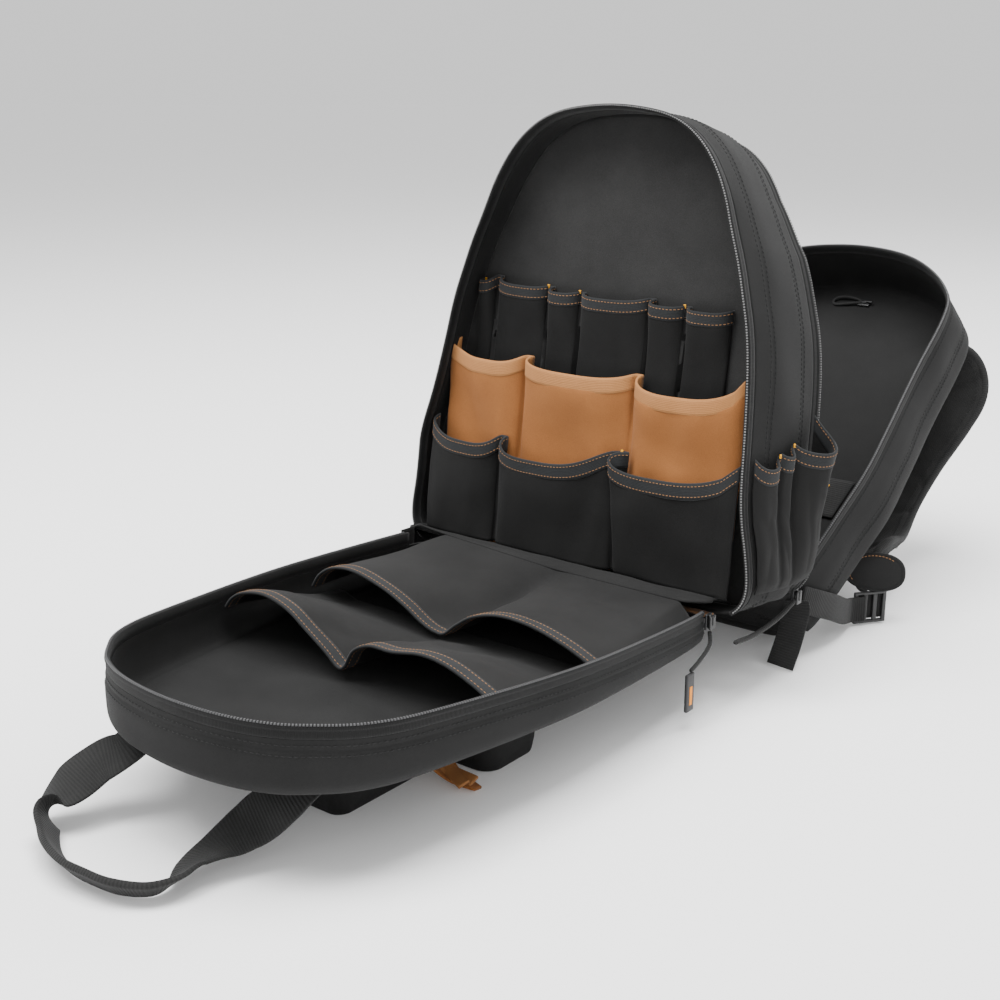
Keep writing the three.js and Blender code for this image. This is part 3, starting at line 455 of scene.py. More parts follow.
# %% Moulded plastic and metal
def moulded(name, colour, rough, metal=0.0, scratch=0.08):
    """Moulded plastic or cast metal: fine pitting in the gloss and a trace of relief."""
    mat = bpy.data.materials.new(name)
    mat.use_nodes = True
    nodes, links = mat.node_tree.nodes, mat.node_tree.links
    shader = nodes["Principled BSDF"]
    shader.inputs["Metallic"].default_value = metal
    place = nodes.new("ShaderNodeTexCoord")
    tex = nodes.new("ShaderNodeTexNoise")
    tex.inputs["Scale"].default_value = 700
    tex.inputs["Detail"].default_value = 4
    links.new(place.outputs["Object"], tex.inputs["Vector"])
    gloss = nodes.new("ShaderNodeMapRange")
    gloss.inputs["To Min"].default_value = rough - scratch
    gloss.inputs["To Max"].default_value = rough + scratch
    links.new(tex.outputs["Fac"], gloss.inputs["Value"])
    links.new(gloss.outputs["Result"], shader.inputs["Roughness"])
    mix = nodes.new("ShaderNodeMix")
    mix.data_type = "RGBA"
    mix.inputs[6].default_value = (*[c * 0.8 for c in colour], 1)
    mix.inputs[7].default_value = (*[min(c * 1.25, 1) for c in colour], 1)
    links.new(tex.outputs["Fac"], mix.inputs[0])
    links.new(mix.outputs[2], shader.inputs["Base Color"])
    relief = nodes.new("ShaderNodeBump")
    relief.inputs["Strength"].default_value = 0.15
    relief.inputs["Distance"].default_value = 0.0002
    links.new(tex.outputs["Fac"], relief.inputs["Height"])
    links.new(relief.outputs["Normal"], shader.inputs["Normal"])
    return mat


print("moulded finish helper ready")

# %% [markdown]
# Each finish has a dark and a light colour for the valleys and the threads. The values were set by
# comparing the render with the photograph under the same soft light.

# %% The finishes of the bag
# This is the black polyester with painted shade: about 15% darker than the black polyester that follows, for
# the walls of the three sections, the lid's corner cloth and the strap tongues.
wall_cloth_painted_shade = fabric(
    "black_wall_cloth_painted_shade", dark=(0.0038, 0.0038, 0.0038), light=(0.0158, 0.0158, 0.0157),
    sheen=0.03, grain=0.65)
black_cloth = fabric(
    "black_polyester", dark=(0.0045, 0.0045, 0.0045), light=(0.019, 0.0189, 0.0187),
    sheen=0.04, grain=0.65)
panel_black = fabric(
    "black_panel_cloth", dark=(0.008, 0.008, 0.008), light=(0.032, 0.0318, 0.0315),
    sheen=0.06, grain=0.65)
pocket_black = fabric(
    "black_pocket_cloth", dark=(0.003, 0.003, 0.003), light=(0.0125, 0.0124, 0.0122),
    bump=0.3, sheen=0.03, grain=0.65)
mesh_cloth = fabric(
    "black_spacer_mesh", dark=(0.006, 0.006, 0.006), light=(0.028, 0.028, 0.0275),
    weave=2.6, bump=0.8, sheen=0.06)
grey_tape = fabric(
    "grey_binding_tape", dark=(0.0095, 0.0102, 0.0108), light=(0.0265, 0.028, 0.0294),
    weave=0.8, rib=True, sheen=0.08)
tan_canvas = fabric(
    "tan_canvas", dark=(0.2, 0.072, 0.0195), light=(0.36, 0.145, 0.047),
    sheen=0.05, grain=0.6)
tan_tape = fabric(
    "tan_binding_tape", dark=(0.29, 0.125, 0.042), light=(0.46, 0.215, 0.083),
    sheen=0.05, rib=True)
# The brown binding has its own brown hue, and its colour is about doubled as painted light, which lifts the
# tape out of the shade under the hinge cloth.
brown_tape_painted_light = fabric(
    "brown_binding", dark=(0.13, 0.065, 0.03), light=(0.28, 0.14, 0.07),
    rib=True, sheen=0.06)
web_cloth = fabric(
    "black_webbing", dark=(0.007, 0.007, 0.007), light=(0.031, 0.031, 0.0307),
    weave=1.5, bump=0.6, rib=True, sheen=0.05)
zip_tape = fabric(
    "zip_tape", dark=(0.0035, 0.0035, 0.0035), light=(0.0125, 0.0125, 0.0125),
    weave=0.7, rib=True, bump=0.5, sheen=0.06)
tan_thread = fabric(
    "tan_thread", dark=(0.2, 0.095, 0.038), light=(0.36, 0.185, 0.082),
    weave=0.4, sheen=0.05)
grey_thread = fabric(
    "grey_thread", dark=(0.008, 0.008, 0.008), light=(0.026, 0.026, 0.026),
    weave=0.4, sheen=0.05)
yellow_thread = fabric(
    "yellow_thread", dark=(0.6, 0.27, 0.012), light=(0.9, 0.45, 0.03),
    weave=0.4, sheen=0.05)
tooth_metal = moulded("zip_teeth_metal", (0.2, 0.2, 0.2), 0.5, metal=0.5)
tooth_dark = moulded("zip_teeth_dark", (0.07, 0.07, 0.072), 0.45, metal=0.3)
black_plastic = moulded("black_moulded_plastic", (0.0075, 0.0077, 0.008), 0.4)
tag_rubber = moulded("tag_rubber", (0.014, 0.014, 0.015), 0.55)
orange_bar = moulded("orange_bar", (0.75, 0.24, 0.004), 0.7)
print("materials made:", len(bpy.data.materials))

# %% [markdown]
# ## Shells of the three sections
# Each section is a soft wall on a zip band. Cloth between two seams bellies out a little, and the
# seams pull it in, so the walls get a bulge, shallow grooves at the seams and uneven ripples.

# %% Sweep a section along an outline
def sweep(loop, point, D, O, wave=0.0, size=70, seed=1, fade=None):
    """D is the depth and O the stand-off from the outline, each with the shape rings, points."""
    if wave:
        flat = np.stack([
            loop["x"][None] + loop["nx"][None] * O,
            loop["h"][None] + loop["nh"][None] * O, D], -1)
        lift = ripple(flat, size, seed) * wave
        O = O + (lift if fade is None else lift * fade)
    return point(loop["x"][None] + loop["nx"][None] * O, loop["h"][None] + loop["nh"][None] * O, D)


def surface_line(loop, point, P, D, depth, keep=12):
    """A line on a swept wall at one depth, with its outward normals, for a run of stitches."""
    n = P.shape[1]
    order = slice(None, None, -1) if D[0, 0] > D[-1, 0] else slice(None)
    line = np.array([[np.interp(depth, D[order, j], P[order, j, i]) for i in range(3)] for j in range(n)])
    here = point(loop["x"], loop["h"], np.full(n, depth))
    out = point(loop["x"] + loop["nx"], loop["h"] + loop["nh"], np.full(n, depth)) - here
    out /= np.linalg.norm(out, axis=1)[:, None]
    return line[keep:n - keep] + 0.15 * out[keep:n - keep], out[keep:n - keep]


def long_folds(loop, D, size, seed):
    """Soft folds that run along a wall, from its arc length and depth."""
    arc = loop["arc"][:-1] if len(loop["arc"]) > D.shape[1] else loop["arc"]
    return ripple(np.stack([arc[None] * 0.22 + 0 * D, D * 1.0, 0 * D + seed * 7.0], -1), size * 1.4, seed)


def wall_bulge(d):
    inside = np.clip(d, zip_width, mid_depth - zip_width) - zip_width
    return 5 * np.sin(np.pi * inside / (mid_depth - 2 * zip_width))


def groove(d, at, deep=0.5, wide=1.5):
    return -deep * np.exp(-(((d - at) / wide) ** 2))


print("middle wall stands out", round(float(wall_bulge(mid_depth / 2)), 1), "mm at its middle")

# %% [markdown]
# The wall of the middle section has two seams that run all the way round. It bellies out, but
# hardly along the base, where the bag stands on it.

# %% Wall of the middle section
n = len(mid_loop["x"])
soft = np.where(mid_loop["nh"] < -0.5, 0.15, 1.0)[None]
d_out = np.linspace(zip_width + gap, mid_depth - zip_width - gap, 44)[:, None] * np.ones((1, n))
d_in = d_out[::-1][::2]
seams = (29, 77)
bulge = wall_bulge(d_out) * soft
fade = np.sin(np.pi * (d_out - 9.4) / 88.2) ** 0.6 * (0.35 + 0.65 * soft)
out = bulge + sum(groove(d_out, at) for at in seams) + long_folds(mid_loop, d_out, 40, 8) * 0.8 * fade
P_out = sweep(mid_loop, mid_point, d_out, out, wave=1.3, size=85, seed=3, fade=fade)
P_in = sweep(mid_loop, mid_point, d_in, wall_bulge(d_in) * soft - cloth)
rings_piece("middle_wall", np.concatenate([P_out, P_in]), wall_cloth_painted_shade, "mid_gusset", closed=True)
runs = [surface_line(mid_loop, mid_point, P_out, d_out, at + off) for at in seams for off in (-2.6, 2.6)]
thread("middle_wall_stitches", runs, grey_thread, pitch=4.2, length=3.2)

# %% [markdown]
# The divider panel fills the middle section and carries the pockets. Above the pockets the free
# cloth bellies forward a little.

# %% Divider panel
shares = np.array([1, 0.985, 0.96, 0.92, 0.87, 0.8, 0.72, 0.63, 0.53, 0.43, 0.33, 0.23, 0.13, 0.05])[:, None]
edge = wall_bulge(34) * soft - cloth - 1.1
ex = (mid_loop["x"][None] + mid_loop["nx"][None] * edge) * shares
ec = bag_height * 0.45
eh = ec + (mid_loop["h"][None] + mid_loop["nh"][None] * edge - ec) * shares
free = smoothstep(eh / bag_height, 0.64, 0.8) * np.clip(1 - shares, 0, 1) ** 0.5
belly = ripple(np.stack([ex, eh, ex * 0], -1), 130, 11) * 2.2 * free - 3.0 * free
front = mid_point(ex, eh, 0.318 * mid_depth + belly)
rear = mid_point(ex, eh, 0.318 * mid_depth + 3 + belly)
rings_piece("divider_panel", np.concatenate([front[::-1], rear]), panel_black, "mid_divider")

# %% [markdown]
# ## Front lid and rear section
# Both are shallow cups. Their walls are the same idea as the gusset: a smooth section that is swept
# round the outline, and a floor whose rings shrink towards the middle.

# %% A cup with a wall and a floor
def rounder(rows):
    """Cuts the corners of a profile once, and keeps its two ends."""
    near = 0.75 * rows[:-1] + 0.25 * rows[1:]
    far = 0.25 * rows[:-1] + 0.75 * rows[1:]
    between = np.stack([near, far], 1).reshape(-1, rows.shape[1])
    return np.concatenate([rows[:1], between, rows[-1:]])


def cup(loop, point, wall, profile_out, profile_in, floor_lift, centre, seam, seed, size):
    """profile rows: depth as a share of the wall, depth in mm, stand-off in mm, outside or inside."""
    w = wall(loop["h"])[None]

    def side(profile):
        D = np.stack([share * w[0] + mm for share, mm, off in profile])
        O = np.stack([off * np.where(loop["nh"] < -0.5, low, 1.0) for share, mm, off in profile])
        for _ in range(3):
            D, O = rounder(D), rounder(O)
        return D, O

    low = centre["low"]
    D, O = side(profile_out)
    O = O + groove(D, seam, 0.7, 1.3)
    span = np.clip((D - zip_width) / (w - zip_width), 0, 1)
    fade = np.sin(np.pi * np.clip(span, 0, 1)) ** 0.7
    O = O + long_folds(loop, D, 30, seed + 2) * centre["fold"] * fade
    wall_out = sweep(loop, point, D, O, wave=1.5, size=size, seed=seed, fade=fade)
    Di, Oi = side(profile_in)
    wall_in = sweep(loop, point, Di, Oi)

    def floor(lift, off, first, amp):
        s = np.array([0.97, 0.93, 0.87, 0.79, 0.7, 0.6, 0.5, 0.4, 0.3, 0.2, 0.1, 0.04])[:, None]
        bx = loop["x"][None] + loop["nx"][None] * off
        bh = loop["h"][None] + loop["nh"][None] * off
        x = bx * s
        h = centre["h"] + (bh - centre["h"]) * s
        d = wall(h) - lift
        edge_d = first[None]
        d = d + (edge_d - wall(bh) + lift) * smoothstep(s, 0.8, 1.0)
        flat = np.stack([x, h, x * 0], -1)
        d = d + ripple(flat, 95, seed + 5) * amp * smoothstep(1 - s, 0.02, 0.2)
        return point(x, h, d)

    bottom = floor(0, O[-1], D[-1], 0.0)
    inside = floor(floor_lift, Oi[-1], Di[-1], 0.9)
    rings = np.concatenate([bottom[::-1], wall_out[::-1], wall_in, inside])
    return rings, [surface_line(loop, point, wall_out, D, at, 30) for at in centre["stitches"]]


print("cup helper ready")

# %% [markdown]
# The lid lies on its outside. Its wall is low at the hinge and higher at the far end, and its floor
# turns up into the wall with a soft corner.

# %% Front lid
lid_wall = lambda h: lid_wall_hinge + (lid_wall_end - lid_wall_hinge) * np.minimum(h / lid_length, 1)
top = zip_width + gap
lid_rings, lid_runs = cup(
    lid_loop, lid_point, lid_wall,
    [(0, top, 0), (0.28, top * 0.5, 0.9), (0.5, 0, 1.5), (0.8, -1, 0.8),
     (1, -5, -2), (1, -1.5, -6), (1, 0, -10)],
    [(0, top, -cloth), (0.5, 0, 1.5 - cloth), (1, -7, -2 - cloth), (1, -2.6, -11)],
    2.6, {"h": lid_length * 0.5, "low": 1.0, "fold": 0.8, "stitches": (13.5, 20.5)}, 17, 21, 80)
rings_piece("lid_shell_cloth", lid_rings, wall_cloth_painted_shade, "lid_shell")

# %% [markdown]
# The rear section is a deeper cup that leans on its back pad. Its stitches are made together with
# those of the lid, since they are one kind of thread.

# %% Rear section
rear_wall_at = lambda h: rear_wall - 6 + 6 * np.minimum(np.maximum(h, 0) / rear_length * 3, 1)
rear_rings, rear_runs = cup(
    rear_loop, rear_point, rear_wall_at,
    [(0, top, 0), (0.25, top * 0.5, 3.5), (0.5, 0, 7), (0.8, -3, 8.6), (1, -6, 9), (1, -1.5, 7.5), (1, 0, 4)],
    [(0, top, -cloth), (0.5, 0, 7 - cloth), (1, -8, 9 - cloth), (1, -2.6, 3)],
    2.6, {"h": rear_length * 0.5, "low": 0.1, "fold": 1.0, "stitches": (14, 41.4, 46.6)}, 44, 31, 90)
rings_piece("rear_shell_cloth", rear_rings, wall_cloth_painted_shade, "rear_shell")
thread("shell_stitches", lid_runs + rear_runs, grey_thread, pitch=4.2, length=3.2)

# %% [markdown]
# ## Zips
# A zip is a woven tape, folded over the rim, with a row of small teeth on its edge. The teeth are
# one small tapered block that is repeated along the outline every few millimetres.

# %% Zip bands and teeth
def zip_band(name, loop, point, d0, sign, node):
    n = len(loop["x"])
    keep = slice(int(n * 0.125), int(n * 0.875) + 1)
    part = {k: v[keep] for k, v in loop.items()}
    section = [(9.2, 0), (7, 0.35), (4.2, 0.35), (3, 0.4), (2.6, 1.0), (1.6, 1.25), (0.4, 1.1), (-0.4, 0.6),
               (-0.6, -0.4), (-0.6, -1.8), (-0.2, -cloth), (4, -cloth), (9.2, -cloth)]
    D = np.stack([np.full(len(part["x"]), d0 + sign * d) for d, o in section])
    O = np.stack([np.full(len(part["x"]), o) for d, o in section])
    P = sweep(part, point, D, O).transpose(1, 0, 2)
    rings_piece(name, P, zip_tape, node)
    return part


def teeth(name, part, point, d0, sign, material, proud, pitch=2.3):
    arc = part["arc"]
    at = np.arange(arc[0] + 4, arc[-1] - 4, pitch)
    x, h = np.interp(at, arc, part["x"]), np.interp(at, arc, part["h"])
    nx, nh = np.interp(at, arc, part["nx"]), np.interp(at, arc, part["nh"])
    ends = [np.interp(at + s * 0.72, arc, part[k]) for s in (-1, 1) for k in ("x", "h")]
    verts, faces = [], []
    for d, o_lo, o_hi, f in ((-0.4, -1.0, 0.3 + proud, 1.0), (-1.4, -0.8, 0.1 + proud, 0.8)):
        for o in (o_lo, o_hi):
            for ex, eh in ((ends[0], ends[1]), (ends[2], ends[3])):
                cx, ch = x + (ex - x) * f, h + (eh - h) * f
                verts.append(point(cx + nx * o, ch + nh * o, d0 + sign * d))
    V = np.stack(verts, 1).reshape(-1, 3)
    for k in range(len(at)):
        b = 8 * k
        for f in ((0, 1, 3, 2), (4, 6, 7, 5), (0, 4, 5, 1), (2, 3, 7, 6), (0, 2, 6, 4), (1, 5, 7, 3)):
            faces.append([b + i for i in f])
    print(name, len(at), "teeth")
    piece(name, V, faces, None, material, smooth=False)


for name, loop, point, d0, sign, node, metal, proud in (
    ("front_zip_tape", mid_loop, mid_point, 0, 1, "mid_front_zip", tooth_metal, 0),
    ("back_zip_tape", mid_loop, mid_point, mid_depth, -1, "mid_rear_zip", tooth_metal, 1.5),
    ("lid_zip_tape", lid_loop, lid_point, 0, 1, "lid_zip", tooth_dark, 0.8),
    ("rear_zip_tape", rear_loop, rear_point, 0, 1, "rear_zip", tooth_dark, 0.4),
):
    part = zip_band(name, loop, point, d0, sign, node)
    teeth(name.replace("tape", "teeth"), part, point, d0, sign, metal, proud)

# %% [markdown]
# ## Pocket rows
# A row of pockets is one long panel, folded into pleats and sewn down between the pockets. Each
# mouth is bound with tape that has two rows of stitches.

# %% Places of the pockets
ROWS = {
    "slim": dict(
        seams=[
            (-0.815, 0.618, 0, 0.01), (-0.7, 0.63, 0, 0.012), (-0.375, 0.618, 0.02, 0.01),
            (-0.185, 0.613, 0.01, 0.012), (0.215, 0.616, 0.03, 0.01), (0.41, 0.608, 0.01, 0.01),
            (0.665, 0.61, 0, 0)],
        back=0.946, front=0.632, foot_front=0.867, foot=0.26,
        tape=tape_width * 0.85, ends=0, ramp=0.6, left=1),
    "tan": dict(
        seams=[
            (-0.85, 0.48, 0, 0.03), (-0.42, 0.46, 0.04, 0.022), (0.225, 0.455, 0.03, 0.046),
            (0.835, 0.482, 0, 0)],
        back=0.676, front=0.22, foot_front=0.5, foot=0.0305, tape=tape_width, ends=5, ramp=0.6, left=13),
    "bottom": dict(
        seams=[
            (-0.93, 0.3, 0, 0.036), (-0.49, 0.277, 0.03, 0.046), (0.235, 0.292, 0.19, 0.05),
            (0.88, 0.31, 0, 0)],
        back=0.37, front=0.015, foot_front=0.147, foot=0.038, tape=tape_width, ends=2, ramp=0, left=4),
}
SEW = 3.2
print("rows:", {name: len(row["seams"]) - 1 for name, row in ROWS.items()})

# %% [markdown]
# Seen from above a pocket is a rounded D between two sewn lines. Columns of points follow that line,
# and each column carries its own height, so the mouths dip between the seams.

# %% Shape of a row
def row_columns(row, count, fuller=0.55):
    cols = []
    seams = row["seams"]
    last = len(seams) - 2
    for k in range(len(seams) - 1):
        a, top_a, lean_a, dip = seams[k]
        b, top_b, lean_b, _ = seams[k + 1]
        x0, x1 = a * half_width + SEW, b * half_width - SEW
        for i in range(count + 1):
            u = i / count
            g = math.pi * u
            wall = row["ends"] > 0 and k == last and u > 0.8
            if wall and i < count:
                continue
            out = 0.8 if wall else max(math.sin(g), 0) ** fuller
            c = math.cos(g)
            x = (x0 + x1) / 2 - (x1 - x0) / 2 * math.copysign(abs(c) ** 0.7, c)
            if k == 0:
                x -= row["left"] * math.exp(-(((u - 0.1) / 0.13) ** 2))
            height = (top_a + (top_b - top_a) * u - dip * max(math.sin(math.pi * u), 0) ** 1.1) * bag_height
            cols.append((x + (math.copysign(SEW, x) if wall else 0), out, height,
                         (lean_a + (lean_b - lean_a) * u) * half_width, k + u))
    return np.array(cols)


def row_surface(row, cols, H):
    foot = row["foot"] * bag_height
    x, out, top, lean = (cols[None, :, i] for i in range(4))
    share = np.clip((H - foot) / (top - foot), 0, 1)
    rise = smoothstep(share, row["ramp"], max(row["ramp"] + 0.35, 1))
    front = row["foot_front"] + (row["front"] - row["foot_front"]) * rise
    d = (row["back"] + (front - row["back"]) * out) * 0.318 * mid_depth
    return x - lean * out * share, H, d, share


print("row shape ready, seam allowance", SEW, "mm")

# %% [markdown]
# The cloth of a row is slack, so it gets folds that run up and down and fade towards the seams. The
# tape is wrapped round the mouth, and the cloth ends inside it.

# %% Cloth and tape of a row
def pocket_row(name, row, cloth_mat, tape_mat, seed, folds, fuller, count=40):
    cols = row_columns(row, count, fuller)
    foot = row["foot"] * bag_height
    cut = row["tape"] - 4
    v = np.linspace(0, 1, 40)[:, None]
    H = foot + (cols[None, :, 2] - cut - foot) * v
    x, H, d, share = row_surface(row, cols, H)
    flat = np.stack([x, H * 0.28, x * 0], -1)
    near_seam = 1 - cols[None, :, 1]
    slack = np.sin(np.pi * np.clip(v, 0, 1)) ** 0.5
    fold = ripple(flat, 26, seed) * (0.25 + 0.8 * near_seam) * slack
    fold += ripple(flat * np.array([1, 0.8, 1]), 44, seed + 1) * folds * slack
    fold += ripple(np.stack([x, H, x * 0], -1), 70, seed + 2) * folds * 0.7 * slack
    d = d - fold * cols[None, :, 1] ** 0.3
    P = mid_point(x, H, d)
    body, N = sheet_piece(f"{name}_pocket_cloth", P, pocket_cloth, cloth_mat, f"{name}_pocket_row")
    v = np.linspace(0, 1, 7)[:, None]
    H = cols[None, :, 2] - row["tape"] * (1 - v)
    x, H, d, share = row_surface(row, cols, H)
    T = mid_point(x, H, d)
    tape, NT = sheet_piece(f"{name}_pocket_binding", T, pocket_cloth + 0.8, tape_mat, f"{name}_pocket_tape")
    return cols, T, NT


def tape_runs(T, NT, shares=(0.16, 0.84), thick=2.4, both=False):
    runs = []
    nv = len(T)
    for s in shares:
        at = s * (nv - 1)
        i = int(at)
        f = at - i
        line = T[i] * (1 - f) + T[i + 1] * f
        nrm = NT[i] * (1 - f) + NT[i + 1] * f
        runs.append((line + nrm * thick / 2, nrm))
        if both == "all" or (both and s > 0.5):
            runs.append((line - nrm * thick / 2, -nrm))
    return runs


print("row pieces ready")

# %% [markdown]
# The rows overlap like roof tiles: the slim pockets at the back, the tan ones before them and the
# large black ones in front. The corners of the mouths are kept for the bartacks.

# %% The three rows
tan_runs, corners = [], []
for name, cloth_mat, tape_mat, seed, folds, fuller in (
    ("slim", pocket_black, grey_tape, 41, 1.0, 0.8),
    ("tan", tan_canvas, tan_tape, 51, 2.4, 0.6),
    ("bottom", pocket_black, grey_tape, 61, 2.1, 0.55),
):
    cols, T, NT = pocket_row(name, ROWS[name], cloth_mat, tape_mat, seed, folds, fuller)
    if name != "tan":
        tan_runs += tape_runs(T, NT, both=True)
    for k in ([0, 2, 3, 5] if name == "slim" else [2] if name == "bottom" else []):
        i = int(np.argmin(np.abs(cols[:, 4] - k)))
        corners.append((T[-1, i], NT[-1, i], T[0, i] - T[-1, i]))

# %% [markdown]
# ## Pockets of the lid
# Two tiers of pockets lie in the lid. Each tier is one loose sheet: its mouth stands up where a
# tool would go and falls to the floor of the lid where it is sewn down.

# %% Lid pockets
TIER_1 = [
    (-0.99, 0.625), (-0.94, 0.281), (-0.84, 0), (-0.68, -0.094), (-0.47, 0.094), (-0.31, 0.375),
    (-0.19, 0.672), (-0.1, 0.812), (-0.03, 0.797), (0.05, 0.469), (0.16, 0.125), (0.33, -0.094),
    (0.53, -0.062), (0.72, 0.156), (0.86, 0.406), (0.95, 0.625), (0.99, 0.781),
]
TIER_2 = [
    (-0.99, 0.406), (-0.94, 0.125), (-0.85, -0.094), (-0.69, -0.219), (-0.52, -0.062), (-0.37, 0.312),
    (-0.23, 0.688), (-0.14, 0.969), (-0.09, 0.906), (-0.03, 0.438), (0.08, 0.188), (0.23, 0.156),
    (0.42, 0), (0.58, 0.062), (0.75, 0.312), (0.89, 0.625), (0.98, 0.906),
]
print("knots of the tiers:", len(TIER_1), len(TIER_2))

# %% [markdown]
# A tier is fixed along its root and at its sewn low points, and open between them. A table gives the
# height of the mouth across the lid, and the cloth eases from the root to the mouth.

# %% Surface of a tier
def outline_at(table, share):
    hs, ws = zip(*table)
    rising = np.maximum.accumulate(np.array(hs) + np.arange(len(hs)) * 1e-6)
    return np.interp(np.clip(share, 0.0005, 0.999), rising, ws)


def lid_inside(s):
    return (lid_width / 2) * outline_at(LID_OUTLINE, s / lid_length) - cloth - 2.2


def tier_surface(tier, t, V, seed):
    knots = np.array(tier)
    flag = (np.abs(knots[:, 0]) > 0.9).astype(float)
    dense = spline(np.column_stack([knots, np.arange(len(knots))]), 150)
    x, mouth = dense[:, 0], dense[:, 1] * lid_wall_hinge
    edge = np.interp(x, knots[:, 0], flag)
    s = t["root"] + (t["mouth"] - t["root"]) * V[:, None]
    v = np.clip(V, 0, 1)[:, None]
    ease = v * v * (3 - 2 * v)
    valley = np.exp(-(((x[None] + 0.1 - 0.14 * (1 - v)) / 0.13) ** 2))
    ease = np.maximum(ease, 1e-6) ** (1 - t["valley"] * valley)
    root = t["depth"] + t["edge"] * edge[None]
    d = root + (mouth[None] - root) * ease + t["sag"] * np.sin(np.pi * v) * (1 - edge[None])
    xx = x[None] * lid_inside(s)
    flat = np.stack([xx, s * np.ones_like(xx), xx * 0], -1)
    d = d + ripple(flat, 45, seed) * 1.0 * np.sin(np.pi * v) * (1 - edge[None])
    return lid_point(xx, s, d)


print("lid is", round(float(2 * lid_inside(lid_length / 2))), "mm wide inside at its middle")

# %% [markdown]
# The first tier starts at the hinge and the second lies on the floor of the lid. Both are bound with
# the same tape as the pockets of the divider.

# %% The two tiers
tier_1 = dict(
    root=0.0267 * lid_length, mouth=0.351 * lid_length, depth=-1.5,
    edge=0.44 * lid_wall_hinge, sag=3, valley=0.62)
tier_2 = dict(root=0.2756 * lid_length, mouth=0.589 * lid_length, edge=-4.5, sag=1, valley=0)
tier_2["depth"] = float(lid_wall(np.array(tier_2["root"]))) - 2.6 - pocket_cloth / 2 - gap - 0.2
for name, tier, t, seed in (("lid_tier_1", TIER_1, tier_1, 71), ("lid_tier_2", TIER_2, tier_2, 81)):
    cut = 1 - tape_width / (t["mouth"] - t["root"])
    back_edge = cut + 4 / (t["mouth"] - t["root"])
    P = tier_surface(tier, t, np.linspace(0, back_edge, 40), seed)
    body, _ = sheet_piece(f"{name}_cloth", P, pocket_cloth, black_cloth, f"{name}_pockets")
    T = tier_surface(tier, t, np.linspace(cut, 1, 7), seed)
    tape, NT = sheet_piece(f"{name}_binding", T, pocket_cloth + 0.8, grey_tape, f"{name}_tape")
    tan_runs += tape_runs(T, NT, both="all")

# %% [markdown]
# The lid hangs on a strip of cloth that is sewn to the base of the middle section. Five rows of
# points carry it over the rim, and a brown binding closes the seam below it.

# %% Hinge cloth
cover_x = np.linspace(-0.98, 0.83, 64)
x = cover_x * half_width
K = np.array([
    mid_point(x, 5, 0.318 * mid_depth - 1),
    mid_point(x, 10, 22),
    mid_point(x, 15, 3),
    mid_point(x, 14, -4),
    lid_point(cover_x * 0.5 * lid_width, 13.5, -2.2 - 1.6 * np.abs(cover_x) ** 6),
])
P = spline(K.reshape(len(K), -1), 24).reshape(24, 64, 3)
P[..., 2] += ripple(P, 40, 91) * 0.5 * np.sin(np.linspace(0, np.pi, 24))[:, None]
cover, _ = sheet_piece("hinge_cloth", P, pocket_cloth, black_cloth, "hinge_cover")
bind_x = np.linspace(-0.82, 0.82, 60) * half_width
P = np.array([mid_point(bind_x, 0.6, d) for d in np.linspace(zip_width - gap, 1.25 * gap, 6)])
sheet_piece("hinge_binding_tape", P, 2.4, brown_tape_painted_light, "hinge_binding")

# %% [markdown]
# Three pockets sit on the right wall, two narrow ones and a wide one. Their row is a single sheet that
# is pleated at the seams and lies nearly flat against the wall at its foot.

# %% Side pockets
SIDE = [(0.0981, 0.0112, 0.325), (0.1308, 0.0561, 0.312), (0.2056, 0.0748, 0.306), (0.2991, 0.0654, 0.31),
        (0.3551, 0.015, 0.322), (0.3832, 0.015, 0.334), (0.4112, 0.0561, 0.33), (0.486, 0.0654, 0.33),
        (0.5327, 0.0168, 0.345), (0.5607, 0.0168, 0.352), (0.5888, 0.0841, 0.343), (0.6542, 0.1589, 0.338),
        (0.7477, 0.2243, 0.338), (0.8411, 0.243, 0.345), (0.9065, 0.1869, 0.362), (0.9159, 0.0935, 0.385),
        (0.8972, 0.0187, 0.408)]
side_foot = 0.06 * bag_height


def side_surface(V, drop, seed):
    c = spline(SIDE, 130)
    deep, stand_off, top = c[:, 0] * mid_depth, c[:, 1] * mid_depth, c[:, 2] * bag_height
    high = top[None] - drop
    H = side_foot + (high - side_foot) * V[:, None] if seed else top[None] - V[:, None]
    v = np.clip((H - side_foot) / (top[None] - side_foot), 0, 1)
    stand = 2.2 + 1.2 * v + (stand_off[None] - 1.2) * (0.06 + 0.94 * v ** 0.7)
    if seed:
        flat = np.stack([deep[None] + 0 * H, H * 0.3, 0 * H], -1)
        stand = stand + np.abs(ripple(flat, 22, seed)) * 1.5 * np.sin(np.pi * v)
    wall = outline_at(MID_OUTLINE, np.minimum(H / bag_height, 0.47)) * half_width
    return mid_point(wall + wall_bulge(deep)[None] + stand, H, deep[None] + 0 * H)


P = side_surface(np.linspace(0, 1, 36), tape_width - 4, 95)
side_cloth, _ = sheet_piece("side_pocket_cloth", P, pocket_cloth, pocket_black, "side_pockets")
T = side_surface(np.linspace(tape_width, 0, 7), 0, 0)
side_tape, NT = sheet_piece("side_pocket_binding", T, pocket_cloth + 0.8, grey_tape, "side_pocket_tape")
tan_runs += tape_runs(T, NT, both=True)
for share in (0.2833, 0.5333):
    i = round(share * 129)
    corners.append((T[-1, i], NT[-1, i], T[0, i] - T[-1, i]))
thread("tape_stitches", tan_runs, tan_thread, pitch=3.4, length=2.5, width=0.62, height=0.32)

# %% [markdown]
# ## Bartacks
# Where a mouth is sewn down, a short block of yellow zigzag holds the corner.

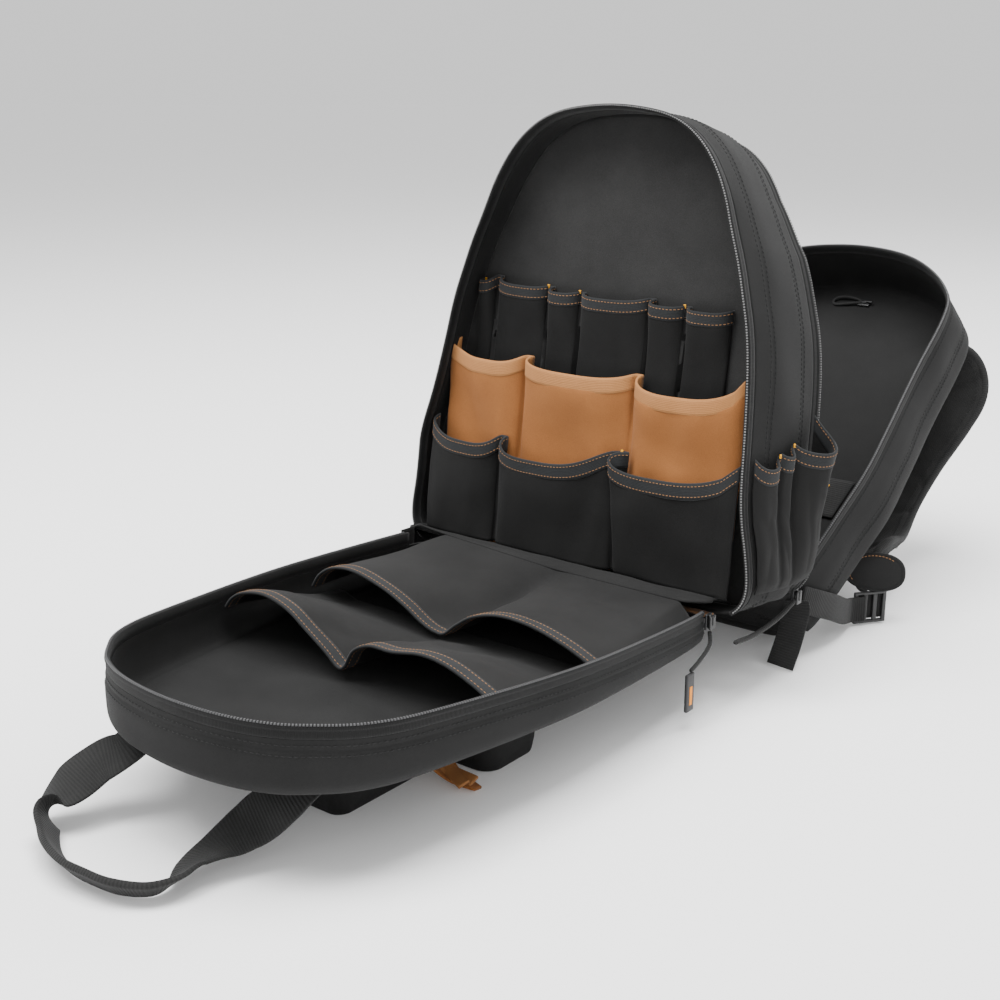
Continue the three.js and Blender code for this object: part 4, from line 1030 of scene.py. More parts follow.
# %% Bartacks
tack_runs = []
for p, nrm, down in corners:
    t = down / np.linalg.norm(down)
    nrm = nrm * (1 if nrm @ np.array([0.55, -0.8, 0.2]) > 0 else -1)
    s = np.cross(nrm, t)
    for k in range(3):
        c = p + t * (k * 1.1 - 1.2) + nrm * 1.4
        tack_runs.append((np.array([c - s * 1.7, c, c + s * 1.7]), np.array([nrm] * 3)))
thread("bartacks", tack_runs, yellow_thread, pitch=3.1, length=3.0, width=1.3, height=0.8)
print("bartacks", len(corners))

# %% [markdown]
# ## Webbing, handle and straps
# Webbing is a flat ribbed band, and the shoulder strap is a padded one. A path of points, with the
# direction of the width at each, gives both.

# %% Bands along a path
def band(name, rows, material, node, section, count=110, seed=None, wave=0.0, creases=()):
    """rows: centre, width direction, width, thickness. section: shares of half width and half thickness."""
    R = np.array([[*p, *s, w, k] for p, s, w, k in rows], float)
    D = spline(R, count)
    c, side, w, k = D[:, :3], D[:, 3:6], D[:, 6] / 2, D[:, 7] / 2
    t = np.gradient(c, axis=0)
    t /= np.linalg.norm(t, axis=1, keepdims=True)
    side = side - t * np.sum(side * t, 1, keepdims=True)
    side /= np.linalg.norm(side, axis=1, keepdims=True)
    up = np.cross(t, side)
    ring = [c + side * (w * a)[:, None] + up * (k * b)[:, None] for a, b in section]
    P = np.stack(ring, 1)
    share = np.linspace(0, 1, count)[:, None]
    for at, slant, deep in creases:
        across = np.array([a for a, b in section])[None]
        bite = np.exp(-(((share - at - slant * across) / 0.008) ** 2)) * deep
        P = P - up[:, None] * (bite * np.array([b for a, b in section])[None])[..., None]
    if wave:
        P = P + up[:, None] * (ripple(P, 55, seed) * wave)[..., None]
    return rings_piece(name, P, material, node)


print("band helper ready")

# %% [markdown]
# The handle is folded webbing. It starts flat under the lid, twists upright and loops out beyond the
# end of the lid, so each point of its path has its own direction and width.

# %% Handle
flat_section = [
    (1, 0), (0.985, 0.75), (0.93, 1), (0.6, 1), (0.3, 1), (0, 1), (-0.3, 1), (-0.6, 1), (-0.93, 1),
    (-0.985, 0.75), (-1, 0), (-0.985, -0.75), (-0.93, -1), (-0.6, -1), (-0.3, -1), (0, -1),
    (0.3, -1), (0.6, -1), (0.93, -1), (0.985, -0.75),
]
HANDLE = [
    (-0.221, 0.8178, None, 1, 0, 0, 1, 1), (-0.227, 0.8756, None, 1, 0, 0, 1, 1),
    (-0.242, 0.9422, 0.64, 0.97, -0.12, -0.1, 1, 1), (-0.276, 0.9778, 0.52, 0.95, -0.15, -0.28, 1, 1),
    (-0.291, 1.0222, 0.387, 0.93, -0.2, -0.3, 1, 1.1), (-0.301, 1.0644, 0.233, 0.8, -0.5, 0.2, 0.95, 1.5),
    (-0.239, 1.0978, 0.173, 0.35, -0.8, 0.5, 0.52, 2.2), (-0.172, 1.1244, 0.153, 0, -0.6, 0.8, 0.5, 2.4),
    (-0.095, 1.1378, 0.147, 0, -0.6, 0.8, 0.52, 2.4), (-0.025, 1.1356, 0.14, 0, -0.6, 0.8, 0.54, 2.4),
    (0.043, 1.1267, 0.133, 0.1, -0.6, 0.75, 0.52, 2.4), (0.101, 1.1, 0.127, 0.4, -0.5, 0.7, 0.5, 2.2),
    (0.117, 1.0622, 0.14, 0.7, -0.3, 0.5, 0.62, 1.8), (0.104, 1.0222, 0.173, 0.9, -0.1, 0.3, 0.82, 1.3),
    (0.11, 0.9733, 0.227, 0.97, 0.05, 0.1, 0.97, 1.1), (0.138, 0.9356, 0.36, 0.97, 0.15, 0, 1, 1),
    (0.187, 0.9022, 0.573, 0.98, 0.15, 0, 1, 1), (0.215, 0.8667, 0.727, 1, 0.1, 0.12, 1, 1),
    (0.221, 0.8267, None, 1, 0, 0, 1, 1), (0.221, 0.7822, None, 1, 0, 0, 1, 1),
]


def lid_under(y):
    a = lid_point(0, 0, lid_wall_hinge)
    b = lid_point(0, lid_length, lid_wall_end)
    return a[2] + (y - a[1]) / (b[1] - a[1]) * (b[2] - a[2])


rows = []
for x, along, z, a, b, c, w, k in HANDLE:
    y = -along * lid_length
    up = lid_under(y) - 2.2 * gap - webbing_thick * 0.75 if z is None else z * hinge_height
    rows.append(((x * lid_width, y, up), (a, b, c), webbing_width * w, webbing_thick * k))
band("handle_webbing", rows, web_cloth, "carry_handle", flat_section, count=200)

# %% [markdown]
# The shoulder straps start near the top of the back, hang down behind the bag and come forward
# beside it to their buckles. The table gives the right strap, and the left one mirrors it.

# %% Route of a shoulder strap
STRAP_ROUTE = [
    (104, 506, 220, 0.95, 0), (136, 518, 210, 1, 0), (152, 512, 184, 1, 0), (148, 492, 152, 0.95, 0),
    (139, 444, 112, 0.9, 0), (137, 400, 80, 0.86, 0), (143, 362, 60, 0.86, 0.1), (150, 338, 50, 0.88, 0.4),
    (158.5, 316, 47, 0.9, 0.85), (171, 286, 48, 0.9, 2), (176, 268, 49.6, 0.66, 4),
    (177.5, 257, 49.8, 0.45, 6),
]
TAIL_ROUTE = [
    (170, 123, 58, 0.9), (171, 122, 50.6, 1), (171.5, 118, 42, 1), (171.5, 108, 22, 1), (170, 98, 2.4, 1),
]
CREASES = [(0.24, 0.03, 1.8), (0.36, -0.02, 2.2), (0.5, 0.04, 2.0), (0.62, -0.03, 2.4), (0.75, 0.02, 2.2)]


def rear_sided(m, x, y, z):
    """A point of the right side, or its mirror image about the skewed middle line of the rear section."""
    p = rad(rear_lean)
    root = rear_point(0, 0, 0)
    h = (y - root[1]) * math.sin(p) + (z - root[2]) * math.cos(p)
    skew = rear_skew * min(max(h / rear_length, 0), 1) ** 1.5
    return (x if m > 0 else 2 * skew - x, y, z)


pad_section = [
    (math.copysign(abs(math.cos(g)) ** 0.45, math.cos(g)),
     math.copysign(abs(math.sin(g)) ** 0.8, math.sin(g)))
    for g in np.linspace(0, 2 * math.pi, 28, endpoint=False)]
web_w, pad_thick, buckle_thick = 25, 14, 3.6


def buckle_frame(m):
    """Centre of a buckle, the direction of its webbing and the direction away from the bag."""
    return np.array(rear_sided(m, 184, 251, 17.2)), np.array([m * 0.6, 0.8, 0]), np.array([m * 0.8, -0.6, 0])


print("right buckle at", buckle_frame(1)[0].round(1), "mm")

# %% [markdown]
# A strap is a flat padded band with bound edges and a line of stitches inside each edge. It has
# creases where it bends, which are narrow valleys across it.

# %% Shoulder straps
for side_name, m in (("right", 1), ("left", -1)):
    rows = []
    for h, lift in ((0.789, 1.5), (0.834, 4.2), (0.87, 12.7)):
        hh = h * rear_length
        depth = float(rear_wall_at(np.array(hh))) + pad_thick + strap_thick * 0.28 + (3 + lift) * gap
        p = rear_point(m * 0.11 * rear_width, hh, depth - (2 * gap if m < 0 else 0))
        rows.append((tuple(p), (1, 0, 0), strap_width * 0.8, strap_thick * 0.45))
    for i, (x, y, z, w, turn) in enumerate(STRAP_ROUTE):
        early = i < 2
        across = (1, -m * 0.25 if early else 0, (0.1 if early else 0) + m * turn)
        thick = strap_thick * (0.6 if i == len(STRAP_ROUTE) - 1 else 1)
        rows.append((rear_sided(m, x, y, z), across, strap_width * w, thick))
    strap = band(f"shoulder_strap_{side_name}", rows, mesh_cloth, f"strap_{side_name}", pad_section,
                 count=220, seed=5 + m, wave=1.1, creases=CREASES)
    R = spline(np.array([[*p, *s, w, k] for p, s, w, k in rows], float), 150)
    t = np.gradient(R[:, :3], axis=0)
    t /= np.linalg.norm(t, axis=1, keepdims=True)
    across = R[:, 3:6] - t * np.sum(R[:, 3:6] * t, 1, keepdims=True)
    across /= np.linalg.norm(across, axis=1, keepdims=True)
    up = np.cross(t, across)
    for edge, label in ((-1, "inner"), (1, "outer")):
        line = R[:, :3] + across * (edge * (R[:, 6] / 2 - 1.2))[:, None]
        ring = [line + across * (4.2 * math.cos(g)) + up * ((R[:, 7] * 0.36)[:, None] * math.sin(g))
                for g in np.linspace(0, 2 * math.pi, 12, endpoint=False)]
        rings_piece(f"strap_binding_{side_name}_{label}", np.stack(ring, 1), web_cloth)
    strap_runs = []
    for face in (-1, 1):
        for edge in (-1, 1):
            line = R[:, :3] + across * (edge * (R[:, 6] / 2 - 7.5))[:, None]
            line = line + up * (face * (R[:, 7] * 0.5 + 0.2))[:, None]
            strap_runs.append((line[6:-6], up[6:-6] * face))
    thread(f"strap_stitches_{side_name}", strap_runs, grey_thread, pitch=3.8, length=2.8)

# %% [markdown]
# Webbing runs from the base of the bag to the buckle and on behind its bars. A loose tail hangs
# down beside its start and touches the floor.

# %% Webbing and tails of the straps
for side_name, m in (("right", 1), ("left", -1)):
    centre, along, outward = buckle_frame(m)
    pts = [(172.4, 128, 58), (179.5, 150, 49), (182.6, 176, 38), (180, 203, 26), (175.5, 223, 19.5)]
    rows = [
        (rear_sided(m, *p), (0, 0.25 if i < 4 else 0, 1), web_w, webbing_thick)
        for i, p in enumerate(pts)]
    stand = (buckle_thick + webbing_thick) / 2
    for t in (-19.5, -6):
        place = centre + along * t + outward * (stand + 1.6 * gap)
        rows.append((tuple(place), (0, 0, 1), web_w, webbing_thick))
    band(f"strap_webbing_{side_name}", rows, web_cloth, f"webbing_{side_name}", flat_section, count=60)
    rows = [(tuple(centre + along * t - outward * (stand + 0.4)), (0, 0, 1), web_w, webbing_thick)
            for t in (-11, -5, 0, 8, 16)]
    band(f"strap_web_loop_{side_name}", rows, web_cloth, None, flat_section, count=24)
    rows = [((m * x, y, z), (m, 0.2, 0), web_w * w, webbing_thick) for x, y, z, w in TAIL_ROUTE]
    band(f"strap_tail_{side_name}", rows, web_cloth, f"tail_{side_name}", flat_section, count=50)

# %% [markdown]
# ## Back pad
# The padded back panel lies behind the rear section. It is crowned foam with a sewn border.

# %% Shape of the back pad
pad_loop = outline_loop(REAR_OUTLINE, rear_width * 0.436, rear_length * 0.933, 300)


def pad_ring(lift, share, o=0.0):
    s = rear_length * 0.45
    h = s + (pad_loop["h"] + pad_loop["nh"] * o + 2 - s) * share
    fuller = 1 + 13 / 14 * np.exp(-((h / rear_length / 0.14) ** 2))
    x = (pad_loop["x"] + pad_loop["nx"] * o) * share
    d = rear_wall_at(h) + 2 * gap + lift * fuller
    p = rear_point(x, h, d)
    p[:, 2] = np.maximum(p[:, 2], 0)
    return p


rings = [pad_ring(0, s) for s in (0.05, 0.3, 0.6, 0.9)]
PAD_EDGE = [(0, -3), (0.2, -0.8), (0.45, 0), (0.7, -1.5), (0.86, -4.5), (0.97, -9), (1, -14)]
rings += [pad_ring(pad_thick * a, 1, o) for a, o in PAD_EDGE]
for share in (0.88, 0.8, 0.7, 0.6, 0.5, 0.4, 0.34, 0.3, 0.2, 0.1, 0.04):
    dip = 0.22 if 0.3 < share < 0.36 else 0
    rings.append(pad_ring(pad_thick * (1 - dip), share))
pad = rings_piece("back_pad_cloth", np.array(rings), mesh_cloth, "back_pad")

# %% [markdown]
# Foam under cloth swells between its seams. Cloth pressure on the remeshed pad gives that. The pad
# is held where it lies on the bag, and no point moves more than four millimetres.

# %% Filling the pad
def pad_depth(co):
    """Millimetres that points lie behind the rear section, and their height along it."""
    q = (co - SHIFT) * 1000
    lean = rad(rear_lean)
    start = rear_point(0, 0, 0)
    d = (q[:, 1] - start[1]) * math.cos(lean) - (q[:, 2] - start[2]) * math.sin(lean)
    h = (q[:, 1] - start[1]) * math.sin(lean) + (q[:, 2] - start[2]) * math.cos(lean)
    return d - rear_wall_at(h), h


def puff(obj, pressure=4.0, cap=0.004, voxel=0.005):
    """Fill a pad by cloth pressure, held where it lies on the bag, and cap how far it moves."""
    bpy.ops.object.select_all(action="DESELECT")
    obj.select_set(True)
    bpy.context.view_layer.objects.active = obj
    remesh = obj.modifiers.new("remesh", "REMESH")
    remesh.mode = "VOXEL"
    remesh.voxel_size = voxel
    bpy.ops.object.modifier_apply(modifier=remesh.name)
    rest = np.empty(len(obj.data.vertices) * 3, dtype=np.float32)
    obj.data.vertices.foreach_get("co", rest)
    rest = rest.reshape(-1, 3).astype(float)
    depth, _ = pad_depth(rest)
    held = np.nonzero((depth < 4.5) | (rest[:, 2] < 0.006))[0]
    group = obj.vertex_groups.new(name="held")
    group.add([int(v) for v in held], 1.0, "REPLACE")
    cloth_mod = obj.modifiers.new("puff", "CLOTH")
    cloth_mod.settings.use_pressure = True
    cloth_mod.settings.uniform_pressure_force = pressure
    cloth_mod.settings.vertex_group_mass = group.name
    cloth_mod.settings.effector_weights.gravity = 0
    for frame_number in range(1, 21):
        bpy.context.scene.frame_set(frame_number)
    graph = bpy.context.evaluated_depsgraph_get()
    done = np.empty_like(rest, dtype=np.float32).ravel()
    obj.evaluated_get(graph).to_mesh().vertices.foreach_get("co", done)
    obj.evaluated_get(graph).to_mesh_clear()
    move = done.reshape(-1, 3) - rest
    size = np.linalg.norm(move, axis=1, keepdims=True)
    rest = rest + move * np.minimum(1, cap / np.maximum(size, 1e-9))
    rest[:, 2] = np.maximum(rest[:, 2], 0)
    obj.modifiers.remove(cloth_mod)
    obj.vertex_groups.remove(group)
    obj.data.vertices.foreach_set("co", rest.ravel())
    smooth = obj.modifiers.new("smooth", "SUBSURF")
    smooth.levels = smooth.render_levels = 1
    bpy.ops.object.modifier_apply(modifier=smooth.name)
    bpy.context.scene.frame_set(1)
    print(obj.name, "moved at most", round(float(size.max()) * 1000, 1), "mm before the cap")


puff(pad)

# %% [markdown]
# The seams come after the filling, because remeshing would remove them. Three channels run across
# and one runs up the middle. They are valleys, pushed in towards the rear section.

# %% Sewn channels of the pad
co = np.empty(len(pad.data.vertices) * 3, dtype=np.float32)
pad.data.vertices.foreach_get("co", co)
co = co.reshape(-1, 3).astype(float)
depth, h = pad_depth(co)
x_mid = (co[:, 0] - SHIFT[0]) * 1000 - rear_skew * np.clip(h / rear_length, 0, 1) ** 1.5
outer = smoothstep(depth, 6, 11)
sink = sum(np.exp(-(((h - at * rear_length) / 2.6) ** 2)) for at in (0.24, 0.46, 0.68))
sink = sink * (np.abs(x_mid) < 0.36 * rear_width)
sink = np.maximum(sink, np.exp(-((x_mid / 3.0) ** 2)) * (h > 0.1 * rear_length) * (h < 0.82 * rear_length))
inward = rear_point(0, 100, 0) - rear_point(0, 100, 1)
co += (outer * sink * 2.6 * 0.001)[:, None] * inward
pad.data.vertices.foreach_set("co", co.ravel())
pad.data.update()
pad.data.polygons.foreach_set("use_smooth", [True] * len(pad.data.polygons))

# %% [markdown]
# ## Pouches under the lid
# The pockets on the outside of the lid now carry it on the floor. They are soft boxes with a flat
# underside, so their rings are swept round a rounded rectangle.

# %% Pouches and tan tab
OUTER = {
    "outer_pocket_upper": (-0.383, 0.163, 0.76, 0.556, 0.037),
    "outer_pocket_lower": (-0.383, 0.294, 0.498, 0.356, 0.049),
}


def rect_ring(box, inset):
    left, right, far, near, corner = box
    x0, x1, r = left * lid_width, right * lid_width, corner * lid_width
    y0, y1 = -far * lid_length, -near * lid_length
    pts = []
    turns = ((x1 - r, y0 + r, -90), (x1 - r, y1 - r, 0), (x0 + r, y1 - r, 90), (x0 + r, y0 + r, 180))
    for cx, cy, g0 in turns:
        for g in np.linspace(0, 90, 12):
            a = rad(g0 + g)
            pts.append((cx + (r - inset) * math.cos(a), cy + (r - inset) * math.sin(a)))
    return np.array(pts)


def pouch_ring(box, inset, z=0.0, share=None):
    """A ring at a height in millimetres, or at a share of the way up to the lid's underside."""
    q = rect_ring(box, inset)
    top = lid_under(q[:, 1]) - gap - 0.3
    heights = top * share if share is not None else np.full(len(q), z)
    return np.stack([q[:, 0], q[:, 1], heights], 1)


for name, box in OUTER.items():
    rings = [pouch_ring(box, inset, z) for inset, z in ((2.5, 0), (1.0, 0.6), (0.2, 2.4))]
    outside = ((-1.6, 0.2), (-2.8, 0.4), (-2.2, 0.6), (-1, 0.8), (0, 1.0), (cloth, 1.0), (cloth - 2.6, 0.5))
    rings += [pouch_ring(box, inset, share=share) for inset, share in outside]
    rings += [pouch_ring(box, inset, z) for inset, z in ((cloth, 4.6), (cloth + 2.5, cloth))]
    rings_piece(f"{name}_cloth", np.array(rings), black_cloth, name)

# %% [markdown]
# A tan webbing tab hangs in folds beside the pouches. Four short bands of different lengths and
# leans look like the bunched ends that the photograph shows.

# %% Tan tab
TAN_TAB = [(0.1735, 0.36), (0.209, 0.2), (0.255, 0.073), (0.316, 0.021)]
TAN_STRIPS = [(-11, 0.35, 0, 14), (-1, 0.1, 2.6, 13), (9, -0.15, 0.6, 13), (15, -0.5, 3.4, 10)]
for k, (shift, lean, lift, w) in enumerate(TAN_STRIPS):
    rows = []
    for i, (x, z) in enumerate(TAN_TAB):
        place = (x * lid_width - lift * 1.5,
                 -0.557 * lid_length + shift + lean * 14 * i,
                 z * hinge_height + lift * (1 + 0.6 * i) * 0.6)
        rows.append((place, (0.12 + lean, -1, 0.35 * (-1) ** k * i / 3), w, webbing_thick))
    band(f"tan_strip_{k + 1}", rows, tan_tape if k % 2 else tan_canvas, "tan_tab" if k == 0 else None,
         flat_section, count=40, seed=17 + k, wave=0.6)

# %% [markdown]
# ## Moulded parts
# Buckles and zip sliders are injection-moulded or die-cast. Each is built from a few bars with
# rounded edges that are joined into one object, as the real mould would have it.

# %% Bars with rounded edges
def bars(name, boxes, material, node=None, bevel=0.5, origin=(0, 0, 0), turn=0.0, tilt=0.0):
    """Boxes of (centre, size) in millimetres of a local frame, joined, with rounded edges."""
    made = []
    for centre, size in boxes:
        bpy.ops.object.select_all(action="DESELECT")
        bpy.ops.mesh.primitive_cube_add(size=0.001, location=[c * 0.001 for c in centre])
        bpy.context.object.scale = size
        bpy.ops.object.transform_apply(location=True, rotation=True, scale=True)
        made.append(bpy.context.object)
    bpy.ops.object.select_all(action="DESELECT")
    for obj in made:
        obj.select_set(True)
    bpy.context.view_layer.objects.active = made[0]
    if len(made) > 1:
        bpy.ops.object.join()
    obj = bpy.context.object
    obj.name = name
    edge = obj.modifiers.new("rounded_edges", "BEVEL")
    edge.width = bevel * 0.001
    edge.segments = 3
    bpy.ops.object.modifier_apply(modifier=edge.name)
    obj.rotation_euler = (tilt, 0, turn)
    obj.location = (np.array(origin) * 0.001 + SHIFT).tolist()
    bpy.ops.object.transform_apply(location=True, rotation=True, scale=True)
    bpy.ops.object.shade_smooth_by_angle(angle=math.radians(35))
    obj.data.materials.append(material)
    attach(obj, "root")
    if node:
        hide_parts(*([node] if isinstance(node, str) else node))
    print(name, len(obj.data.polygons), "faces")
    return obj


print("bars helper ready")

# %% [markdown]
# A ladder buckle is a frame with two cross bars. The webbing passes behind them and holds by friction.

# %% Ladder buckles
for side_name, m in (("right", 1), ("left", -1)):
    centre, _, _ = buckle_frame(m)
    ladder = [((0, 0, 14.4), (34, 3.6, 3.2)), ((0, 0, -14.4), (34, 3.6, 3.2))]
    ladder += [((x, 0, 0), (4.1, 3.6, 30)) for x in (-14.9, 14.9)]
    ladder += [((x, 0, 0), (4.6, 3.0, 27)) for x in (-5.2, 5.2)]
    bars(f"ladder_buckle_{side_name}", ladder, black_plastic, f"buckle_{side_name}", bevel=1.1,
         origin=centre, turn=math.atan2(0.8, m * 0.6))

# %% [markdown]
# A slider has a top and a bottom plate, a bridge and a nose. The tag on the front pull is soft rubber
# with a plain bar of colour.

# %% Sliders and tag
lid_end = lid_point(0.4878 * lid_width, 0.0342 * lid_length, zip_width * 0.85)
rear_end = mid_point(0.975 * half_width, 0.0135 * bag_height, mid_depth * 0.9)
slider_parts = [((1.1, 0, 0), (2.2, 9, 13.6)), ((4.9, 0, 0), (2.2, 8.4, 12)), ((3, 0, 4), (3, 3, 4)),
                ((6.2, 0, 1.5), (1.6, 3, 8)), ((3, 0, -4.6), (2.2, 3, 3))]
sliders = (("lid_zip_slider", lid_end, "lid_slider"), ("rear_zip_slider", rear_end, "rear_slider"))
for name, at, node in sliders:
    bars(name, slider_parts, black_plastic, node, bevel=0.7, origin=at)
tag_at = lid_end + np.array([8.8, -42, -46.7])
bars("pull_tag", [((1.6, 0, 0), (3.2, 11, 33))], tag_rubber, "lid_pull_tag", bevel=1.2, origin=tag_at)
bars("tag_bar", [((3.25, 0, -2.5), (0.5, 3.8, 16))], orange_bar, bevel=0.2, origin=tag_at)

# %% [markdown]
# ## Cords and pulls
# The zip pulls are short free cords. Each is a round tube along its route, and the tag hangs from
# the front one.

# %% Cord pulls
def tube(name, points, radius, material, node=None, sides=16, count=60):
    P = spline(points, count)
    t = np.gradient(P, axis=0)
    t /= np.linalg.norm(t, axis=1, keepdims=True)
    u = np.cross(t[0], [0.3, 0.2, 1.0])
    rings = []
    angles = np.linspace(0, 2 * np.pi, sides, endpoint=False)
    for i in range(count):
        u = u - t[i] * (u @ t[i])
        u /= np.linalg.norm(u)
        w = np.cross(t[i], u)
        end = min(i, count - 1 - i)
        r = radius * (0.55 if end == 0 else 0.9 if end == 1 else 1.0)
        rings.append(P[i] + r * (np.cos(angles)[:, None] * u + np.sin(angles)[:, None] * w))
    return rings_piece(name, np.array(rings), material, node), P


for name, start, offsets, radius, node, far, pieces in (
    ("front_pull_cord", lid_end, [(3.2, -0.6, -8), (6.7, -6, -18), (9.2, -26, -25), (10.2, -41, -28.6)], 1.7,
     "lid_pull_cord", "fitting", ["pull_tag", "tag_bar"]),
    ("rear_pull_cord_strand", rear_end, [(3.6, -4.9, -2), (5, -37, -8), (3.2, -72, -12), (0.2, -103, -11)],
     2.1, "rear_pull_cord", "bare", []),
):
    pts = [tuple(start + np.array(o)) for o in offsets]
    cord, P = tube(name, pts, radius, web_cloth, node)

# %% [markdown]
# ## Small soft pieces
# A tab of webbing is tacked to the rear panel, a zip pull lies near its top, and a strip of cloth
# joins the middle section to the rear one along the base.

# %% Inner tab
tab_corners = [[(0.488, 0.309), (0.744, 0.309)], [(0.488, 0.413), (0.744, 0.413)]]
u = np.linspace(0, 1, 14)[None, :, None]
v = np.linspace(0, 1, 12)[:, None, None]
tab_depth = rear_wall - 2.6 - gap - 1.9
q = np.array([
    [rear_point(x * rear_width / 2, h * rear_length, tab_depth) for x, h in row]
    for row in tab_corners])
P = (q[0, 0] * (1 - u) + q[0, 1] * u) * (1 - v) + (q[1, 0] * (1 - u) + q[1, 1] * u) * v
inward = rear_point(0, 100, 0) - rear_point(0, 100, 1)
P = P + inward * 1.6 * np.sin(np.pi * v) * np.sin(np.pi * np.clip(u, 0, 1))
sheet_piece("inner_webbing_tab", P, 1.8, web_cloth, "inner_tab")
tack = []
for k in range(6):
    c = P[8, 5] + inward * 1.7 + (P[8, 7] - P[8, 5]) * 0.17 * k
    half = (P[7, 5] - P[8, 5]) * 0.8
    tack.append((np.array([c - half, c, c + half]), np.array([inward] * 3)))
thread("tab_bartack", tack, yellow_thread, pitch=5.0, length=4.8, width=1.7, height=1.1)

# %% [markdown]
# The rear panel has a zip near its top, and all that is seen of it is the pull: a loop of cord on a
# small slider.

# %% Panel zip pull
pull_at = rear_point(-0.03 * rear_width, 0.953 * rear_length, rear_wall - 2.6 - gap)
ax, ay = np.array([1.0, 0, 0]), np.array([0, math.sin(rad(rear_lean)), math.cos(rad(rear_lean))])
az = np.cross(ax, ay)
PULL_LOOP = [
    (12, 0, 2), (6, 3.4, 3), (-6, 4.4, 4), (-17, 3, 3), (-21, -2, 1.8), (-17, -6, 1.6), (-6, -5, 2.6),
    (6, -2.6, 3.4), (12, -0.4, 2.2),
]
loop_points = [tuple(pull_at + ax * a + ay * b + az * c) for a, b, c in PULL_LOOP]
tube("panel_zip_pull_loop", loop_points, 1.5, web_cloth, "panel_zip_pull", sides=10)
panel_slider = [((0, 0, 1.4), (13, 9, 2.8)), ((0, 0, 3.4), (6, 4, 2.4)), ((5, 0, 4.6), (10, 2.6, 1.6))]
bars("panel_zip_slider", panel_slider, black_plastic, bevel=0.6,
     origin=pull_at + ax * 14.5, tilt=math.acos(az[2]))

# %% [markdown]
# The rear section hangs on a strip of cloth between its zip and that of the middle section. It
# follows a short curve from one rim to the other.

# %% Rear hinge cloth
x = np.linspace(-0.8, 0.8, 60) * half_width
knots = [
    mid_point(x, 0.6, 99), mid_point(x, 0.6, 104), mid_point(x, -1.2, 107.5),
    rear_point(x, 0.6, 4), rear_point(x, 0.6, 8.6),
]
P = spline(np.array(knots).reshape(5, -1), 16).reshape(16, 60, 3)
rear_cover, _ = sheet_piece("rear_hinge_cloth", P, pocket_cloth, pocket_black)

# %% [markdown]
# The lid's far-left corner is joined to the middle section by a gusset of the same cloth, which rises
# from the lid's wall to the base of the bag. Short curves of five points each give its sheet.

# %% Corner cloth of the lid
corner_rows = []
for depth in np.linspace(-1.5, 40, 18):
    a = lid_point(-lid_width / 2 - 0.6, 34, depth)
    b = lid_point(-lid_width / 2 - 1.5, 16, depth * 0.9)
    c = mid_point(-0.97 * half_width, 15 - depth * 0.8, -6)
    d = mid_point(-0.92 * half_width, 15 - depth * 0.85, 8)
    e = mid_point(-0.76 * half_width, 3 - depth * 0.85, 12)
    corner_rows.append(spline([a, b, c, d, e], 32))
corner, _ = sheet_piece("lid_corner_cloth", np.array(corner_rows), pocket_cloth, wall_cloth_painted_shade)

# %% [markdown]
# The lower end of each shoulder strap is a padded tongue. It is a crowned lens of foam between two
# cloths, with a stitched border, so rings that shrink along a rounded outline suit it.

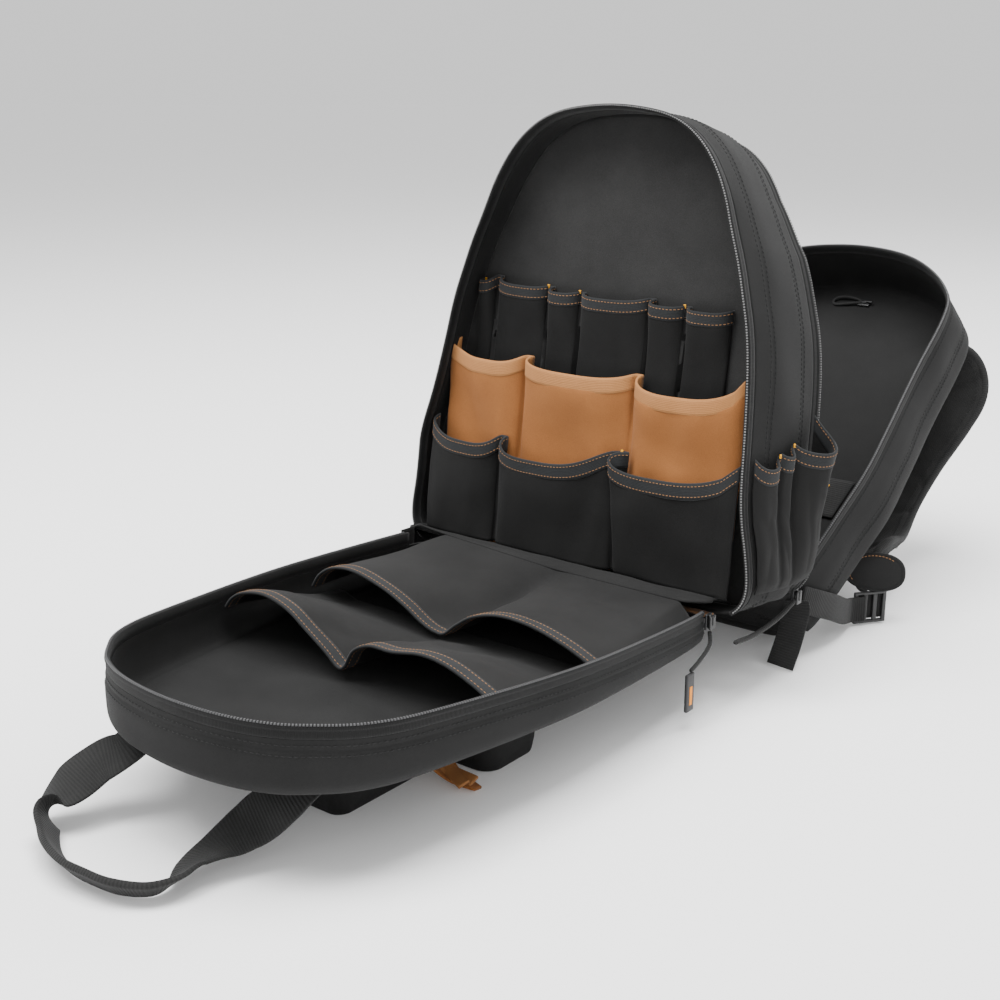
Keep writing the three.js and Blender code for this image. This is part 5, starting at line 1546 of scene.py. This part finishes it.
# %% Strap tongues
TONGUE_RINGS = [
    (0.04, 5.2), (0.3, 5), (0.6, 4.2), (0.8, 2.9), (0.86, 2.2), (0.9, 2.6), (0.97, 1.8), (1, 0),
    (0.97, -1.8), (0.9, -2.6), (0.8, -2.9), (0.5, -4), (0.04, -4.4),
]
for side_name, m in (("right", 1), ("left", -1)):
    middle = np.array(rear_sided(m, 185, 255, 52))
    long_way = np.array([m * 0.783, 0.621, -0.06])
    tall_way = np.array([m * -0.12, 0.15, 0.98])
    face = np.cross(long_way, tall_way)
    face /= np.linalg.norm(face)
    angles = np.linspace(0, 2 * np.pi, 56, endpoint=False)
    lens = []
    for share, lift in TONGUE_RINGS:
        across = np.sign(np.cos(angles)) * np.abs(np.cos(angles)) ** 0.8 * 30 * share
        height = np.sign(np.sin(angles)) * np.abs(np.sin(angles)) ** 0.85 * 19 * share
        height = height * (1 - 0.12 * np.clip(-across / 30, 0, 1))
        lens.append(middle + across[:, None] * long_way + height[:, None] * tall_way + face * lift)
    tongue = rings_piece(f"strap_tongue_{side_name}", np.array(lens), wall_cloth_painted_shade)
    arch = np.linspace(0.25 * np.pi, 1.2 * np.pi, 40)
    line = middle + (np.cos(arch) * 25.5)[:, None] * long_way + (np.sin(arch) * 16)[:, None] * tall_way
    runs = [(line - face * 3.0, np.array([-face] * 40)), (line + face * 3.0, np.array([face] * 40))]
    thread(f"tongue_stitches_{side_name}", runs, tan_thread, pitch=3.4, length=2.5)

# %% [markdown]
# ## Floor and light
# The photograph has a plain white studio. A pale floor, an even world and four large soft lights
# give much the same look, with soft shadows under the bag.

# %% Floor
bpy.ops.object.select_all(action="DESELECT")
bpy.ops.mesh.primitive_plane_add(size=60, location=(0, 0, -0.0005))
floor = bpy.context.object
floor.name = "studio_floor"
floor_mat = bpy.data.materials.new("studio_floor")
floor_mat.use_nodes = True
floor_shader = floor_mat.node_tree.nodes["Principled BSDF"].inputs
floor_shader["Base Color"].default_value = (0.92, 0.92, 0.92, 1)
floor_shader["Roughness"].default_value = 0.9
floor_shader["Emission Color"].default_value = (1, 1, 1, 1)
floor_shader["Emission Strength"].default_value = 0.08
floor.data.materials.append(floor_mat)
print("floor", tuple(round(v) for v in floor.dimensions), "m")

# %% [markdown]
# The world gives an even pale light from all sides. Three large lamps from the front and above and
# one from behind shape the folds without hard shadows.

# %% Light
world = bpy.data.worlds.new("studio")
bpy.context.scene.world = world
world.use_nodes = True
world.node_tree.nodes["Background"].inputs["Color"].default_value = (1, 1, 1, 1)
world.node_tree.nodes["Background"].inputs["Strength"].default_value = 1.0
for name, place, size, power in (
    ("key", (-0.8, -1.2, 2.6), 1.3, 72),
    ("top", (0.1, 0.0, 2.7), 1.7, 118),
    ("fill", (1.9, -1.7, 1.8), 1.6, 12),
    ("rim", (0.8, 2.2, 2.2), 1.5, 45),
):
    data = bpy.data.lights.new(name, "AREA")
    data.size = size
    data.energy = power
    light = bpy.data.objects.new(name, data)
    light.location = place
    light.rotation_euler = (Vector(place) - Vector((0, 0, 0.15))).to_track_quat("Z", "Y").to_euler()
    bpy.context.collection.objects.link(light)
